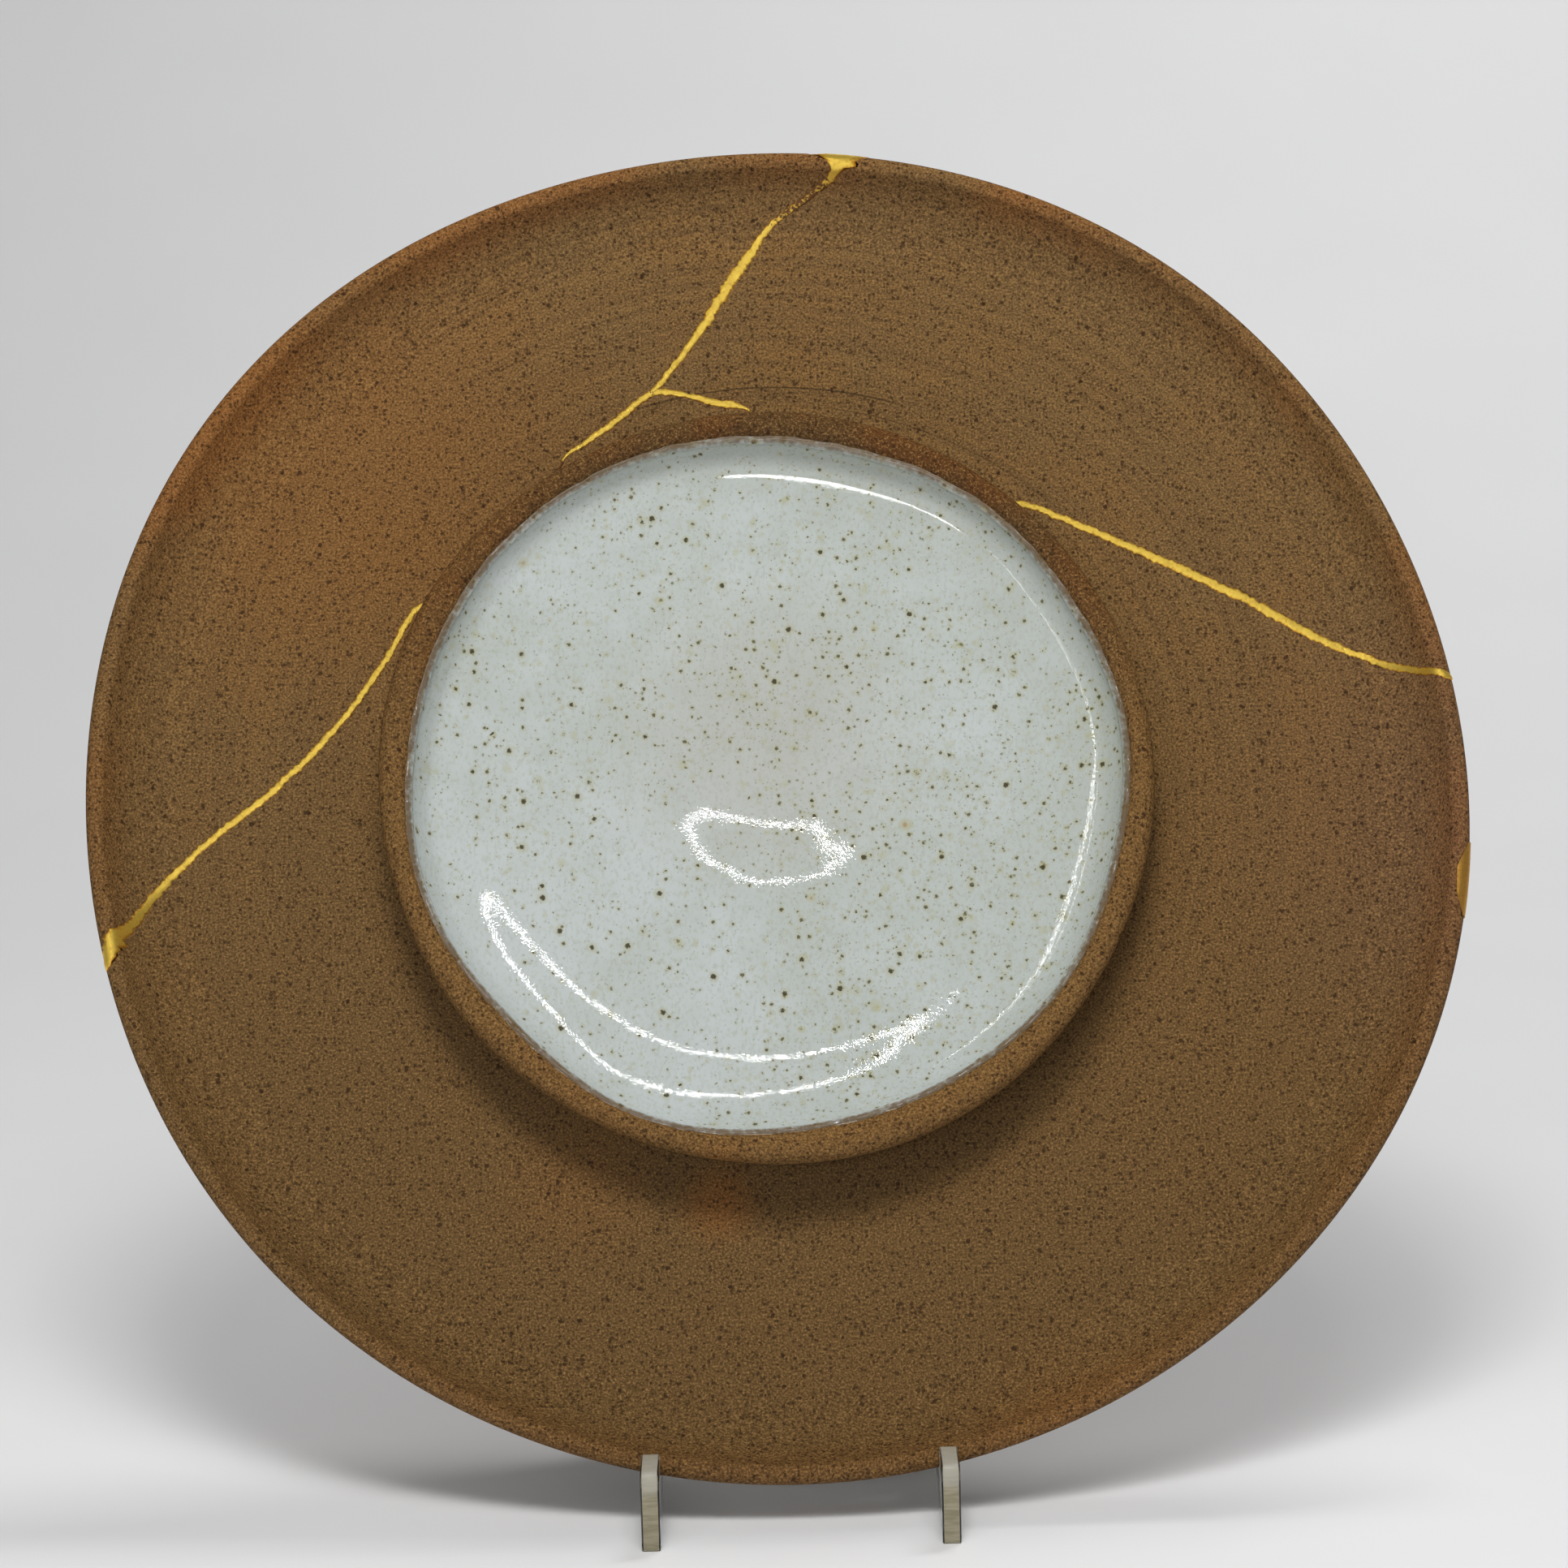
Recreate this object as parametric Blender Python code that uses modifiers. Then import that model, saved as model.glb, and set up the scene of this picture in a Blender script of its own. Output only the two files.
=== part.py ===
"""A stoneware plate with a raised dish in its middle, mended with gold lacquer, on a clear acrylic stand.

Metres, +Z up, the plate's face towards -Y. The stand's feet are at height 0.
The plate is modelled flat, with its face up and its centre at the origin, and then leant back.
"""

from math import atan2, cos, degrees, hypot, pi, radians, sin, sqrt

import bmesh
import bpy
from mathutils import Matrix, Vector

MM = 0.001
OBJECT_NAME = "mended_plate_on_stand"

# The plate, heights above the face of its well
PLATE_RADIUS = 155.0 * MM
LIP_WIDTH = 21.0 * MM
WELL_RADIUS = PLATE_RADIUS - LIP_WIDTH
CLAY_THICKNESS = 8.0 * MM
LIP_HEIGHT = 11.6 * MM
LIP_EDGE_ROUNDING = 2.3 * MM
FOOT_RING_RADIUS = 0.613 * PLATE_RADIUS
FOOT_RING_WIDTH = 5.0 * MM
FOOT_RING_HEIGHT = 5.0 * MM
FOOT_RING_DRAFT = 1.2 * MM
TURNING_STEPS = 96

# The hand-thrown rim is a little out of round: order of the wave, its cosine and its sine part
RIM_WAVES = ((2, 0.2 * MM, -1.0 * MM), (3, 0.1 * MM, 0.4 * MM), (4, -0.5 * MM, -0.45 * MM),
             (5, 0.25 * MM, -0.25 * MM))
ROUND_WITHIN = 100.0 * MM

# The dish
DISH_RIM_RADIUS = 86.4 * MM
DISH_RIM_HEIGHT = 20.0 * MM
DISH_RIM_ROUNDING = 3.2 * MM
DISH_FOOT_RADIUS = 73.5 * MM
DISH_FLOOR_RADIUS = 58.0 * MM
DISH_FLOOR_HEIGHT = 6.5 * MM
DISH_ROOT = 3.0 * MM
DISH_SET_TO_THE_LEFT = 1.9 * MM

# The mends. Each crack is a run of (across, up, width) on the plate's face, in hundredths of the
# plate's radius, and so are the corners of the chip at the rim.
CRACK_RIM_TO_RIM = (
    (-103.2, -27.7, 0.90),
    (-95.9, -23.6, 1.03),
    (-95.0, -20.1, 2.84),
    (-93.2, -17.5, 1.23),
    (-89.2, -11.0, 1.10),
    (-83.0, -4.5, 1.10),
    (-73.4, 3.2, 1.03),
    (-64.4, 12.3, 0.97),
    (-56.8, 22.7, 1.03),
    (-52.5, 30.3, 0.90),
    (-45.5, 38.2, 0.77),
    (-37.7, 45.7, 0.77),
    (-29.4, 53.9, 0.90),
    (-22.4, 59.2, 1.03),
    (-16.8, 63.5, 1.03),
    (-11.4, 63.0, 0.97),
    (-6.1, 61.5, 1.10),
    (-2.4, 60.8, 0.90),
    (5.8, 59.1, 0.71),
    (16.8, 55.6, 0.71),
    (27.7, 51.0, 0.77),
    (37.4, 45.5, 0.97),
    (43.0, 42.4, 1.10),
    (51.7, 38.3, 1.23),
    (61.4, 33.4, 1.35),
    (70.5, 28.6, 1.42),
    (79.4, 23.1, 1.23),
    (88.0, 18.8, 1.03),
    (95.8, 15.0, 1.03),
    (103.2, 12.0, 0.97),
)
CRACK_TOP_TO_JUNCTION = (
    (12.4, 103.2, 8.39),
    (12.2, 99.1, 6.71),
    (11.6, 96.0, 2.19),
    (10.1, 94.8, 0.90),
    (7.1, 93.2, 0.77),
    (3.2, 90.8, 0.77),
    (0.4, 88.5, 0.97),
    (-2.1, 84.7, 1.48),
    (-5.7, 79.4, 1.68),
    (-8.9, 74.1, 1.29),
    (-13.6, 67.5, 0.97),
    (-17.0, 63.4, 0.97),
)
RIM_CHIP = ((104.5, -8.7), (99.3, -11.0), (97.4, -14.5), (97.1, -18.4), (97.8, -21.6), (104.5, -24.2))
RIM_CHIP_FLOOR = 4.0 * MM
ON_PLATE = PLATE_RADIUS / 100
GOLD_PROUD = 0.35 * MM

# The stand, seen from its side: across is the depth, up is the height above the table
SHEET_THICKNESS = 4.0 * MM
SIDE_SPACING = 63.6 * MM
STAND_OFFSET = 1.5 * MM
PLATE_LEAN = radians(24.0)
SEAT_HEIGHT = 9.7 * MM
STOP_HEIGHT = 17.3 * MM
STOP_DEPTH = 14.6 * MM
SEAT_DEPTH = 14.0 * MM
REST_START = 22.0 * MM
REST_REACH = 243.0 * MM
REST_TOP_WIDTH = 16.0 * MM
REST_FOOT_WIDTH = 28.0 * MM
BASE_BAR_HEIGHT = 14.0 * MM
BASE_BAR_LENGTH = 153.0 * MM
CORNER_ROUNDING = 1.6 * MM
INNER_ROUNDING = 24.0 * MM
CROSS_BAR_WIDTH = 14.0 * MM
UPPER_BAR_REACH = 200.0 * MM
LOWER_BAR_INSET = 10.0 * MM

# Pieces that touch in the real object keep this gap, and the uneven lip of the plate a little more
GAP = 0.3 * MM
LIP_TO_STOP = 0.8 * MM
LIP_TO_SEAT = 0.6 * MM

CLAY = ("toasted_stoneware", (0.165, 0.094, 0.038), 0.82, 0.0)
GOLD = ("gold_lacquer", (0.90, 0.55, 0.12), 0.32, 1.0)
DULL_GOLD = ("dull_gold_lacquer", (0.72, 0.42, 0.10), 0.45, 1.0)
ACRYLIC = ("clear_acrylic", (0.80, 0.84, 0.82), 0.10, 0.0)


def clear_scene():
    for item in list(bpy.data.objects):
        bpy.data.objects.remove(item, do_unlink=True)


def make_collection(name):
    collection = bpy.data.collections.new(name)
    bpy.context.scene.collection.children.link(collection)
    return collection


def make_material(finish):
    name, colour, roughness, metallic = finish
    material = bpy.data.materials.get(name)
    if material:
        return material
    material = bpy.data.materials.new(name)
    material.use_nodes = True
    shader = material.node_tree.nodes["Principled BSDF"]
    shader.inputs["Base Color"].default_value = (*colour, 1.0)
    shader.inputs["Roughness"].default_value = roughness
    shader.inputs["Metallic"].default_value = metallic
    return material


def arc(centre, radius, start, end, steps):
    """Points on a circle, angles in degrees from the first axis towards the second."""
    points = []
    for step in range(steps + 1):
        angle = radians(start + (end - start) * step / steps)
        points.append((centre[0] + radius * cos(angle), centre[1] + radius * sin(angle)))
    return points


def lip_curve():
    """The hollow arc that leaves the well level and runs into the edge's rounding: radius and end angle."""
    reach = LIP_WIDTH - LIP_EDGE_ROUNDING
    rise = LIP_HEIGHT - LIP_EDGE_ROUNDING
    radius = (reach ** 2 + rise ** 2 - LIP_EDGE_ROUNDING ** 2) / (2 * LIP_HEIGHT)
    return radius, degrees(atan2(rise - radius, reach))


def plate_profile(swell=0.0):
    """The plate's section from the middle of its face, over the lip, to the middle of its back."""
    edge = (PLATE_RADIUS - LIP_EDGE_ROUNDING, LIP_HEIGHT - LIP_EDGE_ROUNDING)
    curve_radius, curve_end = lip_curve()
    back = -CLAY_THICKNESS
    ring_out = FOOT_RING_RADIUS + FOOT_RING_WIDTH / 2
    ring_in = FOOT_RING_RADIUS - FOOT_RING_WIDTH / 2
    front = [(0.0, swell)]
    front += arc((WELL_RADIUS, curve_radius), curve_radius - swell, -90, curve_end, 6)
    front += arc(edge, LIP_EDGE_ROUNDING + swell, 180 + curve_end, -20, 5)[1:]
    under = (
        (WELL_RADIUS + 0.962 * LIP_WIDTH, 0.45 * LIP_HEIGHT),
        (WELL_RADIUS + 0.833 * LIP_WIDTH, 0.09 * LIP_HEIGHT),
        (WELL_RADIUS + 0.62 * LIP_WIDTH, 0.55 * back),
        (WELL_RADIUS + 0.33 * LIP_WIDTH, 0.86 * back),
        (WELL_RADIUS, back),
        (ring_out + FOOT_RING_DRAFT, back),
        (ring_out, back - FOOT_RING_HEIGHT),
        (ring_in, back - FOOT_RING_HEIGHT),
        (ring_in - FOOT_RING_DRAFT, back),
        (0.0, back),
    )
    for radius, height in under:
        outward = swell if radius > WELL_RADIUS else 0.0
        front.append((radius + outward, height - swell))
    return front


def dish_profile():
    """The dish's section from the middle of its floor, over the rim, to its root in the plate."""
    rim = (DISH_RIM_RADIUS - DISH_RIM_ROUNDING, DISH_RIM_HEIGHT - DISH_RIM_ROUNDING)
    rim_inside = rim[0] - DISH_RIM_ROUNDING
    depth = rim[1] - DISH_FLOOR_HEIGHT
    points = [(0.0, DISH_FLOOR_HEIGHT)]
    for share in (0.0, 0.35, 0.62, 0.84):
        radius = DISH_FLOOR_RADIUS + (rim_inside - DISH_FLOOR_RADIUS) * share
        points.append((radius, DISH_FLOOR_HEIGHT + depth * share ** 1.7))
    points += arc(rim, DISH_RIM_ROUNDING, 165, -45, 6)
    flare = DISH_RIM_RADIUS - DISH_FOOT_RADIUS
    for share in (0.55, 0.22):
        points.append((DISH_FOOT_RADIUS + flare * share, DISH_RIM_HEIGHT * share * 0.88))
    points.append((DISH_FOOT_RADIUS, 0.0))
    points.append((DISH_FOOT_RADIUS, -DISH_ROOT))
    points.append((0.0, -DISH_ROOT))
    return points


def mesh_object(name, mesh, collection):
    made = bpy.data.objects.new(name, mesh)
    collection.objects.link(made)
    return made


def baked(source, name, collection):
    """The source's final shape as a plain mesh object, welded. The source is removed."""
    bpy.context.view_layer.update()
    graph = bpy.context.evaluated_depsgraph_get()
    mesh = bpy.data.meshes.new_from_object(source.evaluated_get(graph))
    mesh.transform(source.matrix_world)
    bpy.data.objects.remove(source, do_unlink=True)
    shape = bmesh.new()
    shape.from_mesh(mesh)
    bmesh.ops.remove_doubles(shape, verts=shape.verts, dist=0.00001)
    shape.to_mesh(mesh)
    shape.free()
    mesh.name = name
    return mesh_object(name, mesh, collection)


def turned(name, profile, collection):
    """A body turned round the upright axis from its half section."""
    mesh = bpy.data.meshes.new(name + "_section")
    edges = [(index, index + 1) for index in range(len(profile) - 1)]
    mesh.from_pydata([(radius, 0.0, height) for radius, height in profile], edges, [])
    source = mesh_object(name + "_section", mesh, collection)
    screw = source.modifiers.new("turning", "SCREW")
    screw.axis = "Z"
    screw.angle = 2 * pi
    screw.steps = TURNING_STEPS
    screw.render_steps = TURNING_STEPS
    screw.use_merge_vertices = True
    screw.merge_threshold = 0.00001
    return baked(source, name, collection)


def flat_cut(name, outline, thickness, place, collection):
    """A flat outline cut from a sheet. The sheet's middle lies in the plane that place turns XY into."""
    curve = bpy.data.curves.new(name, "CURVE")
    curve.dimensions = "2D"
    curve.fill_mode = "BOTH"
    curve.extrude = thickness / 2
    line = curve.splines.new("POLY")
    line.points.add(len(outline) - 1)
    for point, (across, up) in zip(line.points, outline):
        point.co = (across, up, 0.0, 1.0)
    line.use_cyclic_u = True
    source = bpy.data.objects.new(name + "_outline", curve)
    collection.objects.link(source)
    source.matrix_world = place
    return baked(source, name, collection)


def ribbon(crack, margin):
    """The outline of a crack's filling, widened by the margin on both sides."""
    points = [Vector((across, up)) * ON_PLATE for across, up, _ in crack]
    left = []
    right = []
    for index, point in enumerate(points):
        before = points[max(index - 1, 0)]
        after = points[min(index + 1, len(points) - 1)]
        along = (after - before).normalized()
        side = Vector((-along.y, along.x))
        half = crack[index][2] * ON_PLATE / 2 + margin
        left.append(point + side * half)
        right.append(point - side * half)
    return [tuple(point) for point in left + right[::-1]]


def combine(target, tool, operation):
    """Cuts, joins or trims the target by the tool, and removes the tool."""
    change = target.modifiers.new(operation.lower(), "BOOLEAN")
    change.object = tool
    change.operation = operation
    change.solver = "EXACT"
    name = target.name
    collection = target.users_collection[0]
    target.name = name + "_before"
    result = baked(target, name, collection)
    bpy.data.objects.remove(tool, do_unlink=True)
    return result


def crack_prism(name, margin, collection):
    """All the cracks as one upright prism through the plate."""
    height = 4 * (CLAY_THICKNESS + LIP_HEIGHT)
    long_crack = flat_cut(name, ribbon(CRACK_RIM_TO_RIM, margin), height, Matrix(), collection)
    top_outline = ribbon(CRACK_TOP_TO_JUNCTION, margin)
    top_crack = flat_cut(name + "_top", top_outline, height * 0.97, Matrix(), collection)
    return combine(long_crack, top_crack, "UNION")


def chip_prism(name, margin, collection):
    """The chip at the right of the rim as a prism that opens outwards and to the front."""
    corners = [Vector(corner) * ON_PLATE for corner in RIM_CHIP]
    middle = sum(corners, Vector((0.0, 0.0))) / len(corners)
    outline = [tuple(corner + (corner - middle).normalized() * margin * 1.5) for corner in corners]
    height = 2 * LIP_HEIGHT
    floor = RIM_CHIP_FLOOR - margin
    return flat_cut(name, outline, height, Matrix.Translation((0, 0, floor + height / 2)), collection)


def loose_parts(source, collection):
    """The separate bodies of a mesh, each as its own object. The source is removed."""
    shape = bmesh.new()
    shape.from_mesh(source.data)
    shape.verts.ensure_lookup_table()
    group = {}
    groups = []
    for start in shape.verts:
        if start.index in group:
            continue
        members = []
        waiting = [start]
        group[start.index] = len(groups)
        while waiting:
            vertex = waiting.pop()
            members.append(vertex.index)
            for edge in vertex.link_edges:
                other = edge.other_vert(vertex)
                if other.index not in group:
                    group[other.index] = len(groups)
                    waiting.append(other)
        groups.append(members)
    shape.free()
    parts = []
    for number, members in enumerate(groups):
        keep = set(members)
        piece = bmesh.new()
        piece.from_mesh(source.data)
        others = [vertex for vertex in piece.verts if vertex.index not in keep]
        bmesh.ops.delete(piece, geom=others, context="VERTS")
        mesh = bpy.data.meshes.new("shard")
        piece.to_mesh(mesh)
        piece.free()
        parts.append(mesh_object("shard_%d" % number, mesh, collection))
    bpy.data.objects.remove(source, do_unlink=True)
    return parts


def rim_wave(angle):
    return sum(even * cos(order * angle) + odd * sin(order * angle) for order, even, odd in RIM_WAVES)


def throw_out_of_round(item):
    """Moves the lip in and out as a hand-thrown rim is."""
    for vertex in item.data.vertices:
        across, up, _ = vertex.co
        radius = hypot(across, up)
        share = min(max((radius - ROUND_WITHIN) / (PLATE_RADIUS - ROUND_WITHIN), 0.0), 1.0)
        if share > 0.0:
            grown = 1.0 + share * share * rim_wave(atan2(up, across)) / radius
            vertex.co.x = across * grown
            vertex.co.y = up * grown


def make_plate(collection):
    disc = turned("plate", plate_profile(), collection)
    disc = combine(disc, crack_prism("crack", GAP, collection), "DIFFERENCE")
    disc = combine(disc, chip_prism("chip", GAP, collection), "DIFFERENCE")
    shards = loose_parts(disc, collection)
    named = {}
    for shard in shards:
        points = [vertex.co for vertex in shard.data.vertices]
        if min(point.y for point in points) < -WELL_RADIUS:
            named["main_shard_with_dish"] = shard
        elif min(point.x for point in points) < -WELL_RADIUS:
            named["upper_left_shard"] = shard
        else:
            named["upper_right_shard"] = shard
    for name, shard in named.items():
        shard.name = name
    dish = turned("dish", dish_profile(), collection)
    dish.data.transform(Matrix.Translation((-DISH_SET_TO_THE_LEFT, 0.0, 0.0)))
    named["main_shard_with_dish"] = combine(named["main_shard_with_dish"], dish, "UNION")
    gold = turned("gold_lacquer_seam", plate_profile(GOLD_PROUD), collection)
    gold = combine(gold, crack_prism("seam", 0.0, collection), "INTERSECT")
    chip = turned("gold_rim_fill", plate_profile(GOLD_PROUD), collection)
    chip = combine(chip, chip_prism("filling", 0.0, collection), "INTERSECT")
    pieces = [(shard, CLAY) for shard in named.values()]
    pieces.append((gold, GOLD))
    pieces.append((chip, DULL_GOLD))
    return pieces


def on_plate_back(along, behind):
    """A point of the stand's side by its place on the leaning plate: up its back, and behind its face."""
    return Vector((along * sin(PLATE_LEAN) + behind * cos(PLATE_LEAN),
                   along * cos(PLATE_LEAN) - behind * sin(PLATE_LEAN)))


def plate_edge_at_side():
    """How far forward and how far down the plate's edge comes where a side of the stand holds it."""
    inside = (SIDE_SPACING - SHEET_THICKNESS) / 2 - STAND_OFFSET
    foremost = 0.0
    lowest = 0.0
    for radius, height in plate_profile():
        if radius > WELL_RADIUS:
            point = on_plate_back(-sqrt(radius ** 2 - inside ** 2), -height)
            foremost = min(foremost, point.x)
            lowest = min(lowest, point.y)
    return foremost, lowest


def rounded(outline):
    """An outline of (across, up, rounding) with each corner rounded by an arc, convex or hollow."""
    points = []
    count = len(outline)
    for index, (across, up, rounding) in enumerate(outline):
        corner = Vector((across, up))
        if rounding == 0.0:
            points.append(tuple(corner))
            continue
        before = (Vector(outline[index - 1][:2]) - corner).normalized()
        after = (Vector(outline[(index + 1) % count][:2]) - corner).normalized()
        half = before.angle(after) / 2
        reach = rounding * cos(half) / sin(half)
        middle = corner + (before + after).normalized() * (rounding / sin(half))
        first = corner + before * reach - middle
        turn = first.angle_signed(corner + after * reach - middle)
        steps = max(2, round(abs(turn) / radians(22)))
        for step in range(steps + 1):
            angle = -turn * step / steps
            points.append((middle.x + first.x * cos(angle) - first.y * sin(angle),
                           middle.y + first.x * sin(angle) + first.y * cos(angle)))
    return points


def stand_levels():
    """The stop's back, the seat and the table in the plate's own frame, worked out from its edge."""
    foremost, lowest = plate_edge_at_side()
    return foremost - LIP_TO_STOP, lowest - LIP_TO_SEAT, lowest - LIP_TO_SEAT - SEAT_HEIGHT


def side_outline():
    """One side of the stand: stop, seat, leaning rest and base bar in one flat cut."""
    stop_back, seat, table = stand_levels()
    front = stop_back - STOP_DEPTH
    rest_face = CLAY_THICKNESS + FOOT_RING_HEIGHT + GAP
    low = on_plate_back(-PLATE_RADIUS + REST_START, rest_face)
    high = on_plate_back(-PLATE_RADIUS + REST_REACH, rest_face)
    high_back = on_plate_back(-PLATE_RADIUS + REST_REACH, rest_face + REST_TOP_WIDTH)
    bar_top = table + BASE_BAR_HEIGHT
    foot_behind = rest_face + REST_FOOT_WIDTH
    foot_along = (bar_top + foot_behind * sin(PLATE_LEAN)) / cos(PLATE_LEAN)
    foot_back = on_plate_back(foot_along, foot_behind)
    rear = front + BASE_BAR_LENGTH
    return rounded((
        (front, table, CORNER_ROUNDING / 2),
        (front, table + STOP_HEIGHT, CORNER_ROUNDING),
        (stop_back, table + STOP_HEIGHT, CORNER_ROUNDING),
        (stop_back, seat, CORNER_ROUNDING),
        (stop_back + SEAT_DEPTH, seat, CORNER_ROUNDING * 2),
        (low.x, low.y, CORNER_ROUNDING * 2),
        (high.x, high.y, REST_TOP_WIDTH * 0.3),
        (high_back.x, high_back.y, REST_TOP_WIDTH * 0.45),
        (foot_back.x, foot_back.y, INNER_ROUNDING),
        (rear, bar_top, CORNER_ROUNDING * 3),
        (rear, table, CORNER_ROUNDING / 2),
    ))


def side_place(across):
    """Turns the drawing plane, with its first axis to the back and its second up, into the side's place."""
    return Matrix(((0.0, 0.0, 1.0, across), (1.0, 0.0, 0.0, 0.0), (0.0, 1.0, 0.0, 0.0), (0.0, 0.0, 0.0, 1.0)))


def cross_bar(name, centre, lean, collection):
    """A flat bar of the same sheet between the two sides, with its width up the given lean."""
    length = SIDE_SPACING - SHEET_THICKNESS - 2 * GAP
    bpy.ops.mesh.primitive_cube_add(size=1.0)
    bar = bpy.context.object
    for owner in list(bar.users_collection):
        owner.objects.unlink(bar)
    collection.objects.link(bar)
    bar.name = name
    bar.data.transform(Matrix.Diagonal((length, SHEET_THICKNESS, CROSS_BAR_WIDTH, 1.0)))
    bar.data.transform(Matrix.Rotation(-lean, 4, "X"))
    bar.data.transform(Matrix.Translation((STAND_OFFSET, centre.x, centre.y)))
    return bar


def make_stand(collection):
    stop_back, _, table = stand_levels()
    pieces = []
    for name, sign in (("stand_side_left", -1), ("stand_side_right", 1)):
        place = side_place(STAND_OFFSET + sign * SIDE_SPACING / 2)
        side = flat_cut(name, side_outline(), SHEET_THICKNESS, place, collection)
        pieces.append((side, ACRYLIC))
    rest_middle = CLAY_THICKNESS + FOOT_RING_HEIGHT + GAP + REST_TOP_WIDTH * 0.55
    upper = on_plate_back(-PLATE_RADIUS + UPPER_BAR_REACH, rest_middle)
    rear = stop_back - STOP_DEPTH + BASE_BAR_LENGTH
    lower = Vector((rear - LOWER_BAR_INSET, table + CROSS_BAR_WIDTH / 2))
    pieces.append((cross_bar("stand_upper_cross_bar", upper, PLATE_LEAN, collection), ACRYLIC))
    pieces.append((cross_bar("stand_lower_cross_bar", lower, 0.0, collection), ACRYLIC))
    return pieces


def lean_back(item):
    """Leans the flat-made plate back: its face up becomes its face forward, looking a little up."""
    face_forward = Matrix.Rotation(pi / 2 - PLATE_LEAN, 4, "X")
    item.data.transform(face_forward)


def shade(item):
    for face in item.data.polygons:
        face.use_smooth = True
    item.data.set_sharp_from_angle(angle=radians(32))


def main():
    clear_scene()
    collection = make_collection(OBJECT_NAME)
    plate_pieces = make_plate(collection)
    for item, _ in plate_pieces:
        throw_out_of_round(item)
        lean_back(item)
    pieces = plate_pieces + make_stand(collection)
    corners = [vertex.co for item, _ in pieces for vertex in item.data.vertices]
    middle = [(min(c[axis] for c in corners) + max(c[axis] for c in corners)) / 2 for axis in (0, 1)]
    lowest = min(corner.z for corner in corners)
    root = bpy.data.objects.new(OBJECT_NAME + "_root", None)
    collection.objects.link(root)
    root.location = (-middle[0], -middle[1], -lowest)
    for item, finish in pieces:
        item.data.materials.clear()
        item.data.materials.append(make_material(finish))
        item.parent = root
        shade(item)
    bpy.context.view_layer.update()


main()
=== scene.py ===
"""The finish of a mended stoneware plate with a raised, glazed dish, on a clear stand. Metres, +Z up."""
from math import cos, pi, radians, sin, sqrt, tan

import bmesh
import bpy
import numpy as np
from mathutils import Matrix, Vector


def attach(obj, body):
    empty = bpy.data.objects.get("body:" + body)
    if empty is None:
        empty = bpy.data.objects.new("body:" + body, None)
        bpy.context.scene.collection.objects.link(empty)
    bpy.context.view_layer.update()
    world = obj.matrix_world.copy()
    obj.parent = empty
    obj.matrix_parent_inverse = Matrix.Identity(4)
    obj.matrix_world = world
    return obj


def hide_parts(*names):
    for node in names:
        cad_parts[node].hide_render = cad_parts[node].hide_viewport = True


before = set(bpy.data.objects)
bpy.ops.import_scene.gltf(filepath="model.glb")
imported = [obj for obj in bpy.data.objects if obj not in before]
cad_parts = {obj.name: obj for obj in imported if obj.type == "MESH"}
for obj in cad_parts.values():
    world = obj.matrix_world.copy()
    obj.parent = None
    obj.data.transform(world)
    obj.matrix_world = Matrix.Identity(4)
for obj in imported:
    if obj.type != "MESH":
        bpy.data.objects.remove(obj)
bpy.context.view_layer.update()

MM = 0.001

# The plate as the solids have it, heights above the face of its well
PLATE_CENTRE = Vector((-0.349, 10.644, 146.655)) * MM
PLATE_LEAN = radians(24.0)
PLATE_RADIUS = 155.0 * MM
LIP_WIDTH = 21.0 * MM
WELL_RADIUS = PLATE_RADIUS - LIP_WIDTH
CLAY_THICKNESS = 8.0 * MM
LIP_HEIGHT = 11.6 * MM
LIP_EDGE_ROUNDING = 2.3 * MM
FOOT_RING_RADIUS = 0.613 * PLATE_RADIUS
FOOT_RING_WIDTH = 5.0 * MM
FOOT_RING_HEIGHT = 5.0 * MM
FOOT_RING_DRAFT = 1.2 * MM
ROUND_WITHIN = 100.0 * MM

# The dish
DISH_RIM_RADIUS = 86.4 * MM
DISH_RIM_HEIGHT = 20.0 * MM
DISH_RIM_ROUNDING = 3.2 * MM
DISH_FOOT_RADIUS = 73.5 * MM
DISH_FLOOR_HEIGHT = 6.5 * MM
DISH_ROOT = 3.0 * MM
DISH_PLACE = Vector((-1.9, 0.0, 0.0)) * MM
DISH_DIMPLE_DEPTH = 1.5 * MM
DISH_DIMPLE_RADIUS = 17.5 * MM
DISH_DIMPLE_EDGE = 3.5 * MM
DISH_DIMPLE_STRETCH = 1.15
DISH_DIMPLE_PLACE = Vector((2.5, 3.0, 0.0)) * MM
DISH_HOLLOW_RADIUS = 1750.0 * MM
DISH_WALL_START = 57.0 * MM
DISH_CORNER_RADIUS = 74.0 * MM
DISH_CORNER_SLOPE = radians(14.0)
DISH_WALL_BEND = 2.42

# The glaze in the dish
GLAZE_THICKNESS = 0.6 * MM
GLAZE_SUNK = 0.3 * MM
GLAZE_STOPS_AT = 148.0
GLAZE_EDGE_ROLL = 1.2 * MM
GLAZE_EDGE_BEAD = 0.5 * MM

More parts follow.
